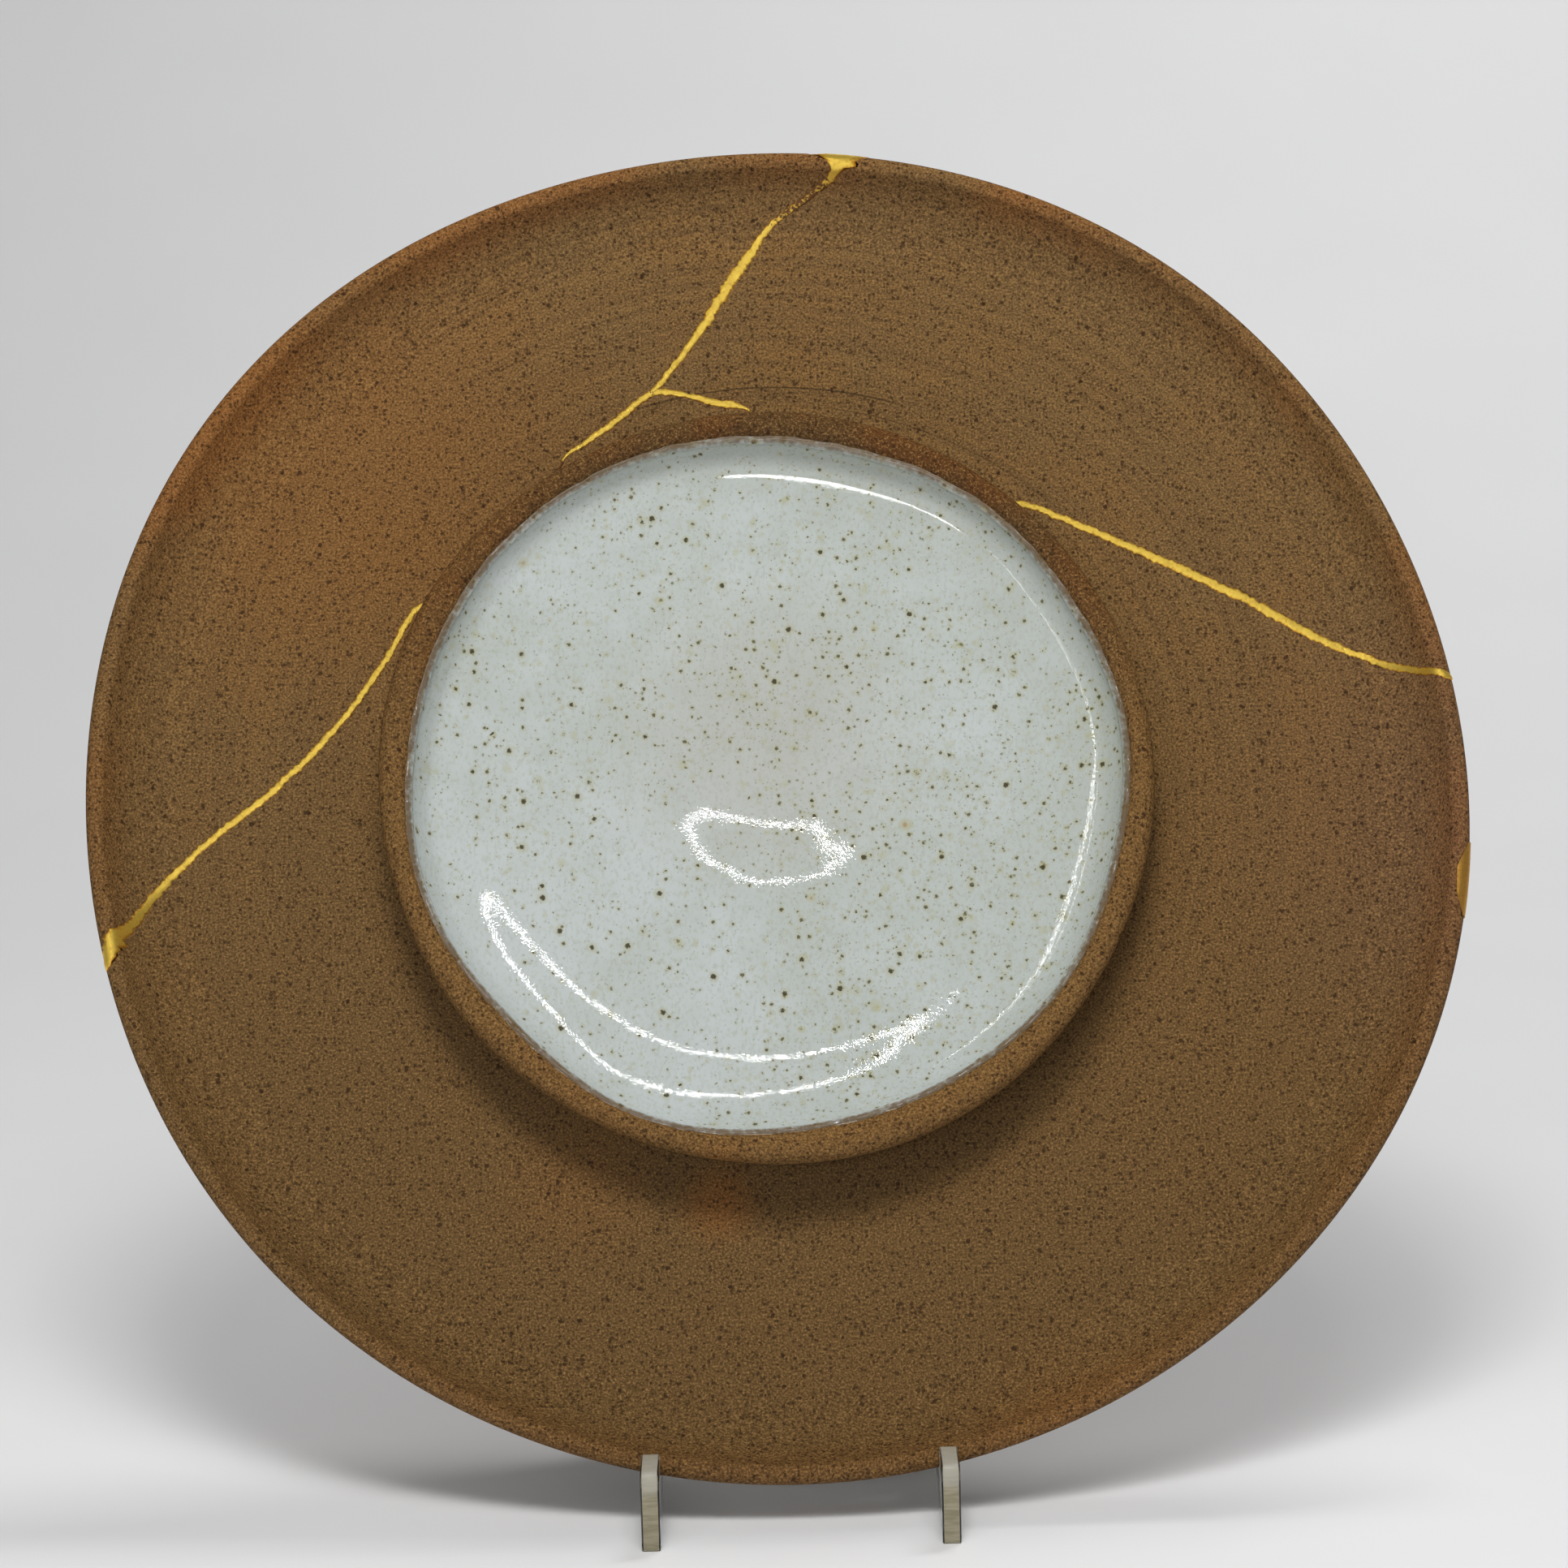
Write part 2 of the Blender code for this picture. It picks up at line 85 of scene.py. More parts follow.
# How far hand-thrown edges sway: order of the wave, its cosine and its sine part. The wave of order nought
# draws the plate's whole edge in a little, so that the lacquer on it stays within the solids' size.
RIM_WAVES = ((0, -0.1 * MM, 0.0), (2, 0.2 * MM, -1.0 * MM), (3, 0.1 * MM, 0.4 * MM),
             (4, -0.5 * MM, -0.45 * MM), (5, 0.25 * MM, -0.25 * MM))
DISH_RIM_WAVES = ((1, 0.0 * MM, 0.3 * MM), (2, -0.2 * MM, -0.5 * MM), (3, -0.1 * MM, 0.3 * MM),
                  (5, 0.25 * MM, 0.15 * MM))
GLAZE_WAVES = ((1, 0.06 * MM, 0.47 * MM), (2, -0.09 * MM, -0.16 * MM), (3, 0.35 * MM, 0.21 * MM),
               (5, -0.33 * MM, -0.15 * MM), (6, 0.17 * MM, 0.36 * MM), (7, 0.25 * MM, -0.03 * MM),
               (8, -0.05 * MM, 0.18 * MM), (9, 0.06 * MM, 0.16 * MM))
STEPS_ROUND = 340

# The mends: (across, up, width, cover) on the plate's face, in millimetres. Cover is how much of the
# lacquer the gold dust hides.
LONG_MEND = (
    (-160.0, -43.0, 1.4, 1.0),
    (-148.9, -37.0, 1.9, 1.0),
    (-147.4, -31.4, 4.4, 1.0),
    (-144.7, -27.2, 2.3, 1.0),
    (-138.3, -17.1, 1.8, 1.0),
    (-128.7, -7.0, 1.7, 1.0),
    (-113.7, 5.0, 1.7, 0.8),
    (-99.8, 19.1, 1.7, 0.9),
    (-88.0, 35.2, 1.7, 1.0),
    (-81.8, 46.4, 1.5, 1.0),
    (-76.8, 49.4, 1.2, 1.0),
    (-65.8, 57.0, 1.2, 1.0),
    (-56.2, 67.6, 0.9, 1.0),
    (-50.6, 75.6, 0.5, 0.1),
    (-48.0, 80.4, 0.5, 0.1),
    (-46.0, 83.6, 0.8, 0.8),
    (-41.6, 86.8, 1.5, 1.0),
    (-34.7, 91.7, 1.7, 1.0),
    (-26.1, 98.4, 1.6, 1.0),
    (-17.7, 97.6, 1.5, 0.9),
    (-10.5, 95.6, 1.8, 1.0),
    (-7.6, 95.0, 1.9, 1.0),
    (-4.6, 94.4, 0.9, 0.8),
    (-1.8, 91.8, 0.5, 0.1),
    (2.0, 88.6, 0.6, 0.2),
    (9.0, 86.6, 1.0, 1.0),
    (26.0, 82.0, 1.1, 1.0),
    (43.0, 74.6, 1.2, 1.0),
    (53.0, 69.8, 1.4, 1.0),
    (59.5, 68.9, 1.6, 1.0),
    (66.7, 65.7, 1.8, 1.0),
    (80.1, 59.4, 2.0, 1.0),
    (95.2, 51.8, 2.2, 1.0),
    (109.3, 44.3, 2.3, 1.0),
    (123.1, 35.8, 2.0, 1.0),
    (136.4, 29.1, 1.7, 0.9),
    (148.5, 23.3, 1.6, 1.0),
    (160.0, 18.6, 1.5, 1.0),
)
TOP_MEND = (
    (19.2, 160.0, 17.0, 1.0),
    (18.7, 151.4, 11.6, 1.0),
    (17.8, 148.8, 2.8, 0.85),
    (15.6, 147.0, 1.5, 0.5),
    (11.0, 144.4, 1.4, 0.44),
    (4.9, 140.8, 1.4, 0.5),
    (0.6, 137.1, 1.7, 0.75),
    (-3.2, 131.3, 2.5, 1.0),
    (-8.9, 123.1, 2.7, 1.0),
    (-13.8, 114.8, 2.1, 1.0),
    (-21.1, 104.7, 1.6, 1.0),
    (-26.3, 98.2, 1.5, 1.0),
)
RIM_CHIP = ((162.0, -13.5), (153.9, -17.0), (151.0, -22.5), (150.5, -28.5), (151.6, -33.5), (162.0, -37.5))
RIM_CHIP_FLOOR = 4.0 * MM
LACQUER_PROUD = 0.34 * MM
LACQUER_SUNK = 0.1 * MM
LACQUER_STEP = 0.4 * MM
LACQUER_SWAY = 0.9 * MM
LACQUER_EDGE_WANDER = 0.42
LACQUER_FULLNESS = 0.65
CRACK_INSIDE_LACQUER = 0.15 * MM
MERGE_WITHIN = 0.001 * MM
WELL_ABOVE_CLAY = 60.0 * MM
BLADE_REACH = 0.6
RIM_CLEARANCE = 0.12 * MM
RIM_LEFT_EVEN = 6.0 * MM

# The stand: its broken edges, and the largest face that counts as narrow, in square metres
BROKEN_EDGE = 0.35 * MM
NARROW_FACE = 0.0002

# The camera, from the middle of the plate's face
CAMERA_DISTANCE = 1.0
CAMERA_ELEVATION = radians(8.71751676)
CAMERA_PAN = radians(0.118557)
CAMERA_TILT = radians(0.2058194)
CAMERA_ROLL = radians(-1.5)
CAMERA_LENS = 101.652
CAMERA_SENSOR = 36.0
CAMERA_SEES_TO = 20.0

SOCKET_KINDS = {float: "Float", int: "Int", bool: "Bool"}


class Net:
    """Adds nodes to one tree. An input is given a plain value, or another node's output to join it to."""

    def __init__(self, tree):
        self.tree = tree

    def give(self, socket, value):
        if isinstance(value, bpy.types.NodeSocket):
            self.tree.links.new(value, socket)
        else:
            socket.default_value = value

    def add(self, kind, inputs=None, **settings):
        node = self.tree.nodes.new(kind)
        for name, value in settings.items():
            setattr(node, name, value)
        for key, value in (inputs or {}).items():
            self.give(node.inputs[key], value)
        return node

    def first(self, kind, inputs=None, **settings):
        """The first output of a new node."""
        return self.add(kind, inputs, **settings).outputs[0]

    def shaped(self, kind, inputs=None, **settings):
        """The first output of a new geometry node."""
        return self.first("GeometryNode" + kind, inputs, **settings)

    def math(self, operation, first, second=0.0, third=0.0):
        return self.first("ShaderNodeMath", {0: first, 1: second, 2: third}, operation=operation)

    def times(self, first, second):
        return self.math("MULTIPLY", first, second)

    def plus(self, first, second):
        return self.math("ADD", first, second)

    def minus(self, first, second):
        return self.math("SUBTRACT", first, second)

    def over(self, first, second):
        return self.math("DIVIDE", first, second)

    def times_plus(self, first, second, third):
        return self.math("MULTIPLY_ADD", first, second, third)

    def vector(self, operation, first, second=(0.0, 0.0, 0.0)):
        node = self.add("ShaderNodeVectorMath", {0: first, 1: second}, operation=operation)
        return node.outputs["Value" if operation in ("LENGTH", "DISTANCE") else "Vector"]

    def moved(self, vector, by):
        return self.vector("ADD", vector, by)

    def length(self, vector):
        return self.vector("LENGTH", vector)

    def scaled(self, vector, factor):
        return self.first("ShaderNodeVectorMath", {0: vector, "Scale": factor}, operation="SCALE")

    def join(self, x=0.0, y=0.0, z=0.0):
        return self.first("ShaderNodeCombineXYZ", {0: x, 1: y, 2: z})

    def split(self, vector):
        return list(self.add("ShaderNodeSeparateXYZ", {0: vector}).outputs)

    def noise(self, vector, scale, detail=2.0, roughness=0.5):
        values = {"Vector": vector, "Scale": scale, "Detail": detail, "Roughness": roughness}
        return self.first("ShaderNodeTexNoise", values)

    def swing(self, vector, scale, amount, detail=2.0):
        """Noise that swings to both sides of nought by the amount."""
        return self.times(self.minus(self.noise(vector, scale, detail), 0.5), amount)

    def between(self, value, low, high, low_gives=0.0, high_gives=1.0):
        """A smooth ramp as the value goes from low to high, level on both sides."""
        values = {"Value": value, "From Min": low, "From Max": high, "To Min": low_gives,
                  "To Max": high_gives}
        return self.first("ShaderNodeMapRange", values, interpolation_type="SMOOTHSTEP")

    def mixed(self, share, first, second):
        """Two colours mixed by the share of the second one."""
        return self.add("ShaderNodeMix", {0: share, 6: first, 7: second}, data_type="RGBA").outputs[2]

    def tinted(self, colour, mask, shade, strength=1.0):
        """The colour with a shade, as it looks on a screen, laid over it by the mask and its strength."""
        if strength != 1.0:
            mask = self.times(mask, strength)
        return self.mixed(mask, colour, from_screen(*shade))


def new_tree(kind, name, inputs, outputs):
    """A node group, as its net, the values it is given and the results it hands on.

    Each input comes with its first value, or with its kind where it has none. Outputs come with theirs."""
    tree = bpy.data.node_groups.new(name, kind)
    for label, value in inputs.items():
        socket_kind = SOCKET_KINDS.get(type(value), value)
        socket = tree.interface.new_socket(label, in_out="INPUT", socket_type="NodeSocket" + socket_kind)
        if socket_kind != value:
            socket.default_value = value
    for label, socket_kind in outputs.items():
        tree.interface.new_socket(label, in_out="OUTPUT", socket_type="NodeSocket" + socket_kind)
    net = Net(tree)
    return net, net.add("NodeGroupInput").outputs, net.add("NodeGroupOutput").inputs


def wave_round(net, angle, waves):
    """The sum of the waves at an angle, as an output."""
    total = 0.0
    for order, even, odd in waves:
        turned_by = net.times(angle, float(order))
        total = net.times_plus(net.math("COSINE", turned_by), even, total)
        total = net.times_plus(net.math("SINE", turned_by), odd, total)
    return total


def sampled(net, geometry, kind, value, index):
    values = {"Geometry": geometry, "Value": value, "Index": index}
    return net.shaped("SampleIndex", values, data_type=kind, domain="POINT")


def attribute(net, name, kind="FLOAT"):
    return net.shaped("InputNamedAttribute", {"Name": name}, data_type=kind)


def grid_rows(net, columns, rows):
    """A grid to be bent into shape: its mesh, and each point's column and row."""
    grid = net.shaped("MeshGrid", {"Vertices X": columns, "Vertices Y": rows})
    index = net.shaped("InputIndex")
    column = net.math("FLOOR", net.over(index, rows))
    return grid, column, net.minus(index, net.times(column, rows))


def finish_tree(net, geometry, given, result):
    """Ends a tree: smooth faces, no instances, and the material."""
    geometry = net.shaped("SetShadeSmooth", {"Geometry": geometry})
    geometry = net.shaped("RealizeInstances", {"Geometry": geometry})
    net.give(result[0], net.shaped("SetMaterial", {"Geometry": geometry, "Material": given["Material"]}))
    return net.tree


def turning_tree(name, outer_waves, inner_waves):
    """A tree that turns a section round the upright axis as on a wheel, with the hand's unevenness."""
    net, given, result = new_tree("GeometryNodeTree", name, {
        "Section": "Geometry", "Steps Round": STEPS_ROUND, "Ring Depth": 0.1 * MM, "Ring Pitch": 4.0 * MM,
        "Lump Depth": 0.1 * MM, "Lump Size": 20.0 * MM, "Creep Depth": 0.0, "Creep Length": 8.0 * MM,
        "Dimple Depth": 0.0, "Dimple Place": "Vector", "Seed": 0.0, "Material": "Material",
    }, {"Piece": "Geometry"})
    section = given["Section"]
    steps = given["Steps Round"]
    rows = net.shaped("AttributeDomainSize", {"Geometry": section}, component="MESH")
    grid, column, row = grid_rows(net, net.plus(steps, 1.0), rows)
    position = net.shaped("InputPosition")
    radius, _, height = net.split(sampled(net, section, "FLOAT_VECTOR", position, row))
    angle = net.times(net.over(column, steps), 2 * pi)
    across = net.math("COSINE", angle)
    up = net.math("SINE", angle)
    for share_name, waves in (("outer_sway", outer_waves), ("inner_sway", inner_waves)):
        share = sampled(net, section, "FLOAT", attribute(net, share_name), row)
        radius = net.times_plus(share, wave_round(net, angle, waves), radius)
    creep = sampled(net, section, "FLOAT_VECTOR", attribute(net, "creep", "FLOAT_VECTOR"), row)
    creep_out, _, creep_up = net.split(creep)
    around = net.scaled(net.join(across, up, given["Seed"]), net.over(DISH_RIM_RADIUS, given["Creep Length"]))
    shift = net.swing(around, 1.0, net.times(given["Creep Depth"], 2.0), 4.0)
    radius = net.times_plus(creep_out, shift, radius)
    height = net.times_plus(creep_up, shift, height)
    place = net.join(net.times(radius, across), net.times(radius, up), height)

    x, y, _ = net.split(net.vector("SUBTRACT", place, given["Dimple Place"]))
    from_dimple = net.length(net.join(net.over(x, DISH_DIMPLE_STRETCH), y))
    fall = net.math("EXPONENT", net.over(net.minus(from_dimple, DISH_DIMPLE_RADIUS), DISH_DIMPLE_EDGE))
    fall = net.over(net.between(height, 0.0, DISH_FLOOR_HEIGHT / 2), net.plus(fall, 1.0))
    place = net.vector("SUBTRACT", place, net.join(z=net.times(fall, given["Dimple Depth"])))
    bent = net.shaped("SetPosition", {"Geometry": grid, "Position": place})
    closed = net.shaped("MergeByDistance", {"Geometry": bent, "Distance": MERGE_WITHIN})

    x, y, _ = net.split(position)
    flat = net.join(x, y)
    from_axis = net.length(flat)
    heading = net.scaled(flat, net.over(0.7, net.math("MAXIMUM", from_axis, MM)))
    turns = net.over(from_axis, given["Ring Pitch"])
    ring_place = net.moved(heading, net.join(0.0, given["Seed"], turns))
    rings = net.swing(ring_place, 1.0, net.times(given["Ring Depth"], 2.0))
    lump_place = net.scaled(position, net.over(1.0, given["Lump Size"]))
    lump_place = net.moved(lump_place, net.join(given["Seed"]))
    lumps = net.swing(lump_place, 1.0, net.times(given["Lump Depth"], 2.0), 3.0)
    even_from = PLATE_RADIUS - RIM_LEFT_EVEN
    calm = net.between(from_axis, even_from - RIM_LEFT_EVEN, even_from, 1.0, 0.0)
    offset = net.scaled(net.shaped("InputNormal"), net.times(net.plus(rings, lumps), calm))
    uneven = net.shaped("SetPosition", {"Geometry": closed, "Offset": offset})
    return finish_tree(net, uneven, given, result)


def lacquer_tree():
    """A tree that lays a bead of lacquer along a path, on the clay's front and back and round its rim.

    With Cut Through on, it gives the tall, slightly narrower blade that cuts the clay along the path."""
    net, given, result = new_tree("GeometryNodeTree", "lacquer_mend", {
        "Path": "Geometry", "Clay": "Object", "Step": LACQUER_STEP, "Points Round": 20,
        "Proud": LACQUER_PROUD, "Sunk": LACQUER_SUNK, "Narrower": 0.0, "Edge Wander": LACQUER_EDGE_WANDER,
        "Cut Through": False, "Seed": 0.0, "Material": "Material",
    }, {"Piece": "Geometry"})
    curve = net.shaped("MeshToCurve", {0: given["Path"]})
    curve = net.shaped("CurveSplineType", {"Curve": curve}, spline_type="CATMULL_ROM")
    curve = net.shaped("SetSplineResolution", {0: curve, "Resolution": 12})
    curve = net.shaped("ResampleCurve", {"Curve": curve, "Length": given["Step"]}, mode="LENGTH")
    columns = net.shaped("AttributeDomainSize", {"Geometry": curve}, component="CURVE")
    grid, column, row = grid_rows(net, columns, net.plus(given["Points Round"], 1.0))
    centre = sampled(net, curve, "FLOAT_VECTOR", net.shaped("InputPosition"), column)
    along = sampled(net, curve, "FLOAT_VECTOR", net.shaped("InputTangent"), column)
    half = sampled(net, curve, "FLOAT", attribute(net, "half_width"), column)
    cover = sampled(net, curve, "FLOAT", attribute(net, "cover"), column)
    phase = net.times(net.over(net.plus(row, 0.5), given["Points Round"]), 2 * pi)
    side_share = net.math("COSINE", phase)
    rise = net.math("SINE", phase)
    side = net.vector("CROSS_PRODUCT", along, (0.0, 0.0, 1.0))
    in_mm = net.moved(net.scaled(centre, 1 / MM), net.join(given["Seed"]))
    sway = net.swing(in_mm, 0.22, LACQUER_SWAY, 3.0)
    which_side = net.times(net.math("SIGN", side_share), 7.0)
    edge_place = net.moved(in_mm, net.join(z=which_side))
    wander = net.swing(edge_place, 1.1, net.times(given["Edge Wander"], 4.0), 3.0)
    width = net.minus(net.times(half, net.plus(wander, 1.0)), given["Narrower"])
    place = net.moved(centre, net.scaled(side, net.times_plus(side_share, width, sway)))

    x, y, _ = net.split(place)
    flat = net.join(x, y)
    rim = net.plus(wave_round(net, net.math("ARCTAN2", y, x), RIM_WAVES), PLATE_RADIUS - RIM_CLEARANCE)
    held = net.scaled(flat, net.math("MINIMUM", net.over(rim, net.length(flat)), 1.0))
    facing = net.minus(net.times(net.math("GREATER_THAN", rise, 0.0), 2.0), 1.0)
    far = net.join(z=net.times(facing, WELL_ABOVE_CLAY))
    clay = net.add("GeometryNodeObjectInfo", {"Object": given["Clay"]}, transform_space="ORIGINAL")
    hit = net.add("GeometryNodeRaycast", {
        "Target Geometry": clay.outputs["Geometry"], "Source Position": net.moved(held, far),
        "Ray Direction": net.scaled(far, -1.0), "Ray Length": 1.0}).outputs
    dome = net.math("POWER", net.math("ABSOLUTE", rise), LACQUER_FULLNESS)
    lump = net.plus(net.swing(net.scaled(place, 1 / MM), 0.8, 0.9, 3.0), 1.0)
    raised = net.minus(net.times(net.times(dome, lump), given["Proud"]), given["Sunk"])
    on_clay = net.moved(hit["Hit Position"], net.scaled(hit["Hit Normal"], raised))
    blade = net.moved(flat, net.scaled(far, BLADE_REACH))
    values = {"Switch": given["Cut Through"], "False": on_clay, "True": blade}
    chosen = net.shaped("Switch", values, input_type="VECTOR")
    bead = net.shaped("SetPosition", {"Geometry": grid, "Position": chosen})
    for name, value in (("to_edge", net.math("ABSOLUTE", side_share)), ("cover", cover)):
        values = {"Geometry": bead, "Name": name, "Value": value}
        bead = net.shaped("StoreNamedAttribute", values, data_type="FLOAT", domain="POINT")
    bead = net.shaped("MergeByDistance", {"Geometry": bead, "Distance": MERGE_WITHIN})
    return finish_tree(net, bead, given, result)


def show(name, data):
    """Puts a mesh, a light or a camera into the scene."""
    made = bpy.data.objects.new(name, data)
    bpy.context.scene.collection.objects.link(made)
    return made


def shape_of(mesh):
    shape = bmesh.new()
    shape.from_mesh(mesh)
    return shape


def smooth(mesh, sharp_from=None):
    """Smooth shading, with the edges sharper than so many degrees left sharp."""
    for face in mesh.polygons:
        face.use_smooth = True
    if sharp_from:
        mesh.set_sharp_from_angle(angle=radians(sharp_from))


def mesh_of(name, shape, *materials):
    """The shape as a mesh with these materials. The shape is given up."""
    mesh = bpy.data.meshes.new(name)
    shape.to_mesh(mesh)
    shape.free()
    for material in materials:
        mesh.materials.append(material)
    return mesh


def line_mesh(name, points, **values):
    """A mesh of one open line, with a number or a vector for each of its points under each name."""
    mesh = bpy.data.meshes.new(name)
    mesh.from_pydata([tuple(point) for point in points], [(i, i + 1) for i in range(len(points) - 1)], [])
    for key, numbers in values.items():
        numbers = np.array(numbers, np.float32)
        kind = "FLOAT_VECTOR" if numbers.ndim == 2 else "FLOAT"
        field = "vector" if numbers.ndim == 2 else "value"
        mesh.attributes.new(key, kind, "POINT").data.foreach_set(field, numbers.ravel())
    return mesh


def plain_mesh(item, name):
    """The item's final shape as a plain mesh with closed ends and faces that point outwards."""
    bpy.context.view_layer.update()
    final = item.evaluated_get(bpy.context.evaluated_depsgraph_get())
    mesh = bpy.data.meshes.new_from_object(final)
    bpy.data.objects.remove(item, do_unlink=True)
    shape = shape_of(mesh)
    bmesh.ops.holes_fill(shape, edges=[edge for edge in shape.edges if edge.is_boundary], sides=0)
    if shape.calc_volume(signed=True) < 0.0:
        bmesh.ops.reverse_faces(shape, faces=shape.faces)
    shape.to_mesh(mesh)
    shape.free()
    mesh.name = name
    return show(name, mesh)


def grown(name, mesh, tree, material, **inputs):
    """Runs a geometry tree on the mesh, with the inputs by name, and keeps the result as a plain mesh."""
    host = show(name + "_guide", mesh)
    modifier = host.modifiers.new("shape", "NODES")
    modifier.node_group = tree
    sockets = {item.name: item.identifier for item in tree.interface.items_tree if item.in_out == "INPUT"}
    modifier[sockets["Material"]] = material
    for key, value in inputs.items():
        modifier[sockets[key.replace("_", " ").title()]] = value
    made = plain_mesh(host, name)
    made.data.materials.clear()
    made.data.materials.append(material)
    return made


def combined(target, tool, operation):
    """The target cut, joined or trimmed by the tool, which is removed."""
    change = target.modifiers.new("change", "BOOLEAN")
    change.object = tool
    change.operation = operation
    change.solver = "MANIFOLD"
    name = target.name
    target.name = name + "_before"
    made = plain_mesh(target, name)
    bpy.data.objects.remove(tool, do_unlink=True)
    return made


def separate(item):
    """The separate bodies of a mesh, each as its own object. The item is removed."""
    shape = shape_of(item.data)
    body = [-1] * len(shape.verts)
    count = 0
    for start in shape.verts:
        if body[start.index] >= 0:
            continue
        waiting = [start]
        body[start.index] = count
        while waiting:
            for edge in waiting.pop().link_edges:
                for vertex in edge.verts:
                    if body[vertex.index] < 0:
                        body[vertex.index] = count
                        waiting.append(vertex)
        count += 1
    shape.free()
    bodies = []
    for number in range(count):
        part = shape_of(item.data)
        others = [vertex for vertex in part.verts if body[vertex.index] != number]
        bmesh.ops.delete(part, geom=others, context="VERTS")
        bodies.append(show("body", mesh_of("body", part, item.data.materials[0])))
    bpy.data.objects.remove(item, do_unlink=True)
    return bodies


def arc(centre, radius, start, end, steps):
    """Points on a circle, angles in degrees from the first axis towards the second."""
    angles = [radians(start + (end - start) * step / steps) for step in range(steps + 1)]
    return [(centre[0] + radius * cos(angle), centre[1] + radius * sin(angle)) for angle in angles]


def smooth_run(points, steps):
    """A smooth line through the points, with so many steps from each one to the next."""
    points = [Vector(point) for point in points]
    padded = [points[0] * 2 - points[1]] + points + [points[-1] * 2 - points[-2]]
    run = [tuple(points[0])]
    for a, b, c, d in zip(padded, padded[1:], padded[2:], padded[3:]):
        for step in range(1, steps + 1):
            t = step / steps
            place = b * 2 + (c - a) * t
            place += (a * 2 - b * 5 + c * 4 - d) * t ** 2
            place += (b * 3 - a - c * 3 + d) * t ** 3
            run.append(tuple(place / 2))
    return run


def softened(points, rounding):
    """An open line through the points, with each inner corner eased."""
    points = [Vector(point) for point in points]
    run = [tuple(points[0])]
    for before, corner, after in zip(points, points[1:], points[2:]):
        first = corner + (before - corner).normalized() * min(rounding, (before - corner).length / 2)
        last = corner + (after - corner).normalized() * min(rounding, (after - corner).length / 2)
        for step in range(6):
            t = step / 5
            run.append(tuple(first * (1 - t) ** 2 + corner * (2 * t * (1 - t)) + last * t ** 2))
    return run + [tuple(points[-1])]


def spaced(points, gap):
    """The same line with points added wherever two are further apart than the gap."""
    run = [points[0]]
    for start, end in zip(points, points[1:]):
        length = sqrt((end[0] - start[0]) ** 2 + (end[1] - start[1]) ** 2)
        count = max(1, round(length / gap))
        for step in range(1, count + 1):
            run.append(tuple(start[k] + (end[k] - start[k]) * step / count for k in (0, 1)))
    return run


def lip_curve():
    """The hollow arc from the well into the edge's rounding: radius, and the angle where it ends."""
    reach = LIP_WIDTH - LIP_EDGE_ROUNDING
    rise = LIP_HEIGHT - LIP_EDGE_ROUNDING
    radius = (reach ** 2 + rise ** 2 - LIP_EDGE_ROUNDING ** 2) / (2 * LIP_HEIGHT)
    return radius, np.degrees(np.arctan2(rise - radius, reach))


def plate_section(swell=0.0):
    """The plate's section from the middle of its face, over the lip, to the middle of its back."""
    edge = (PLATE_RADIUS - LIP_EDGE_ROUNDING, LIP_HEIGHT - LIP_EDGE_ROUNDING)
    curve_radius, curve_end = lip_curve()
    back = -CLAY_THICKNESS - swell
    ring_out = FOOT_RING_RADIUS + FOOT_RING_WIDTH / 2
    ring_in = FOOT_RING_RADIUS - FOOT_RING_WIDTH / 2
    front = spaced([(0.0, swell), (WELL_RADIUS, swell)], 1.5 * MM)
    front += arc((WELL_RADIUS, curve_radius), curve_radius - swell, -90, curve_end, 18)[1:]
    front += arc(edge, LIP_EDGE_ROUNDING + swell, 180 + curve_end, -20, 18)[1:]
    under = smooth_run([
        front[-1],
        (WELL_RADIUS + 0.962 * LIP_WIDTH + swell, 0.45 * LIP_HEIGHT - swell),
        (WELL_RADIUS + 0.833 * LIP_WIDTH + swell, 0.09 * LIP_HEIGHT - swell),
        (WELL_RADIUS + 0.62 * LIP_WIDTH, 0.55 * -CLAY_THICKNESS - swell),
        (WELL_RADIUS + 0.33 * LIP_WIDTH, 0.86 * -CLAY_THICKNESS - swell),
        (WELL_RADIUS, back),
    ], 5)
    ring = softened([
        (WELL_RADIUS - 1.0 * MM, back),
        (ring_out + FOOT_RING_DRAFT, back),
        (ring_out, back - FOOT_RING_HEIGHT),
        (ring_in, back - FOOT_RING_HEIGHT),
        (ring_in - FOOT_RING_DRAFT, back),
        (0.0, back),
    ], 0.9 * MM)
    return front + under[1:] + spaced(ring, 2.4 * MM)


def dish_inside():
    """The inside of the dish from its middle to its rim: a slightly hollow floor and a wall that steepens."""
    rim_inside = DISH_RIM_RADIUS - 2 * DISH_RIM_ROUNDING
    rim_bottom = DISH_RIM_HEIGHT - DISH_RIM_ROUNDING
    bend = tan(DISH_CORNER_SLOPE) / (DISH_CORNER_RADIUS - DISH_WALL_START)

    def floor_height(radius):
        sweep = max(0.0, radius - DISH_WALL_START)
        return DISH_FLOOR_HEIGHT + radius ** 2 / DISH_HOLLOW_RADIUS / 2 + bend * sweep ** 2 / 2

    corner = floor_height(DISH_CORNER_RADIUS)
    corner_slope = tan(DISH_CORNER_SLOPE) + DISH_CORNER_RADIUS / DISH_HOLLOW_RADIUS
    wall_width = rim_inside - DISH_CORNER_RADIUS
    run_in = corner_slope * wall_width / (rim_bottom - corner)
    points = []
    for radius in np.linspace(0.0, rim_inside, 108):
        height = floor_height(radius)
        if radius > DISH_CORNER_RADIUS:
            share = (radius - DISH_CORNER_RADIUS) / wall_width
            climb = run_in * share + (1 - run_in) * share ** DISH_WALL_BEND
            height = corner + (rim_bottom - corner) * climb
        points.append((float(radius), float(height)))
    return points


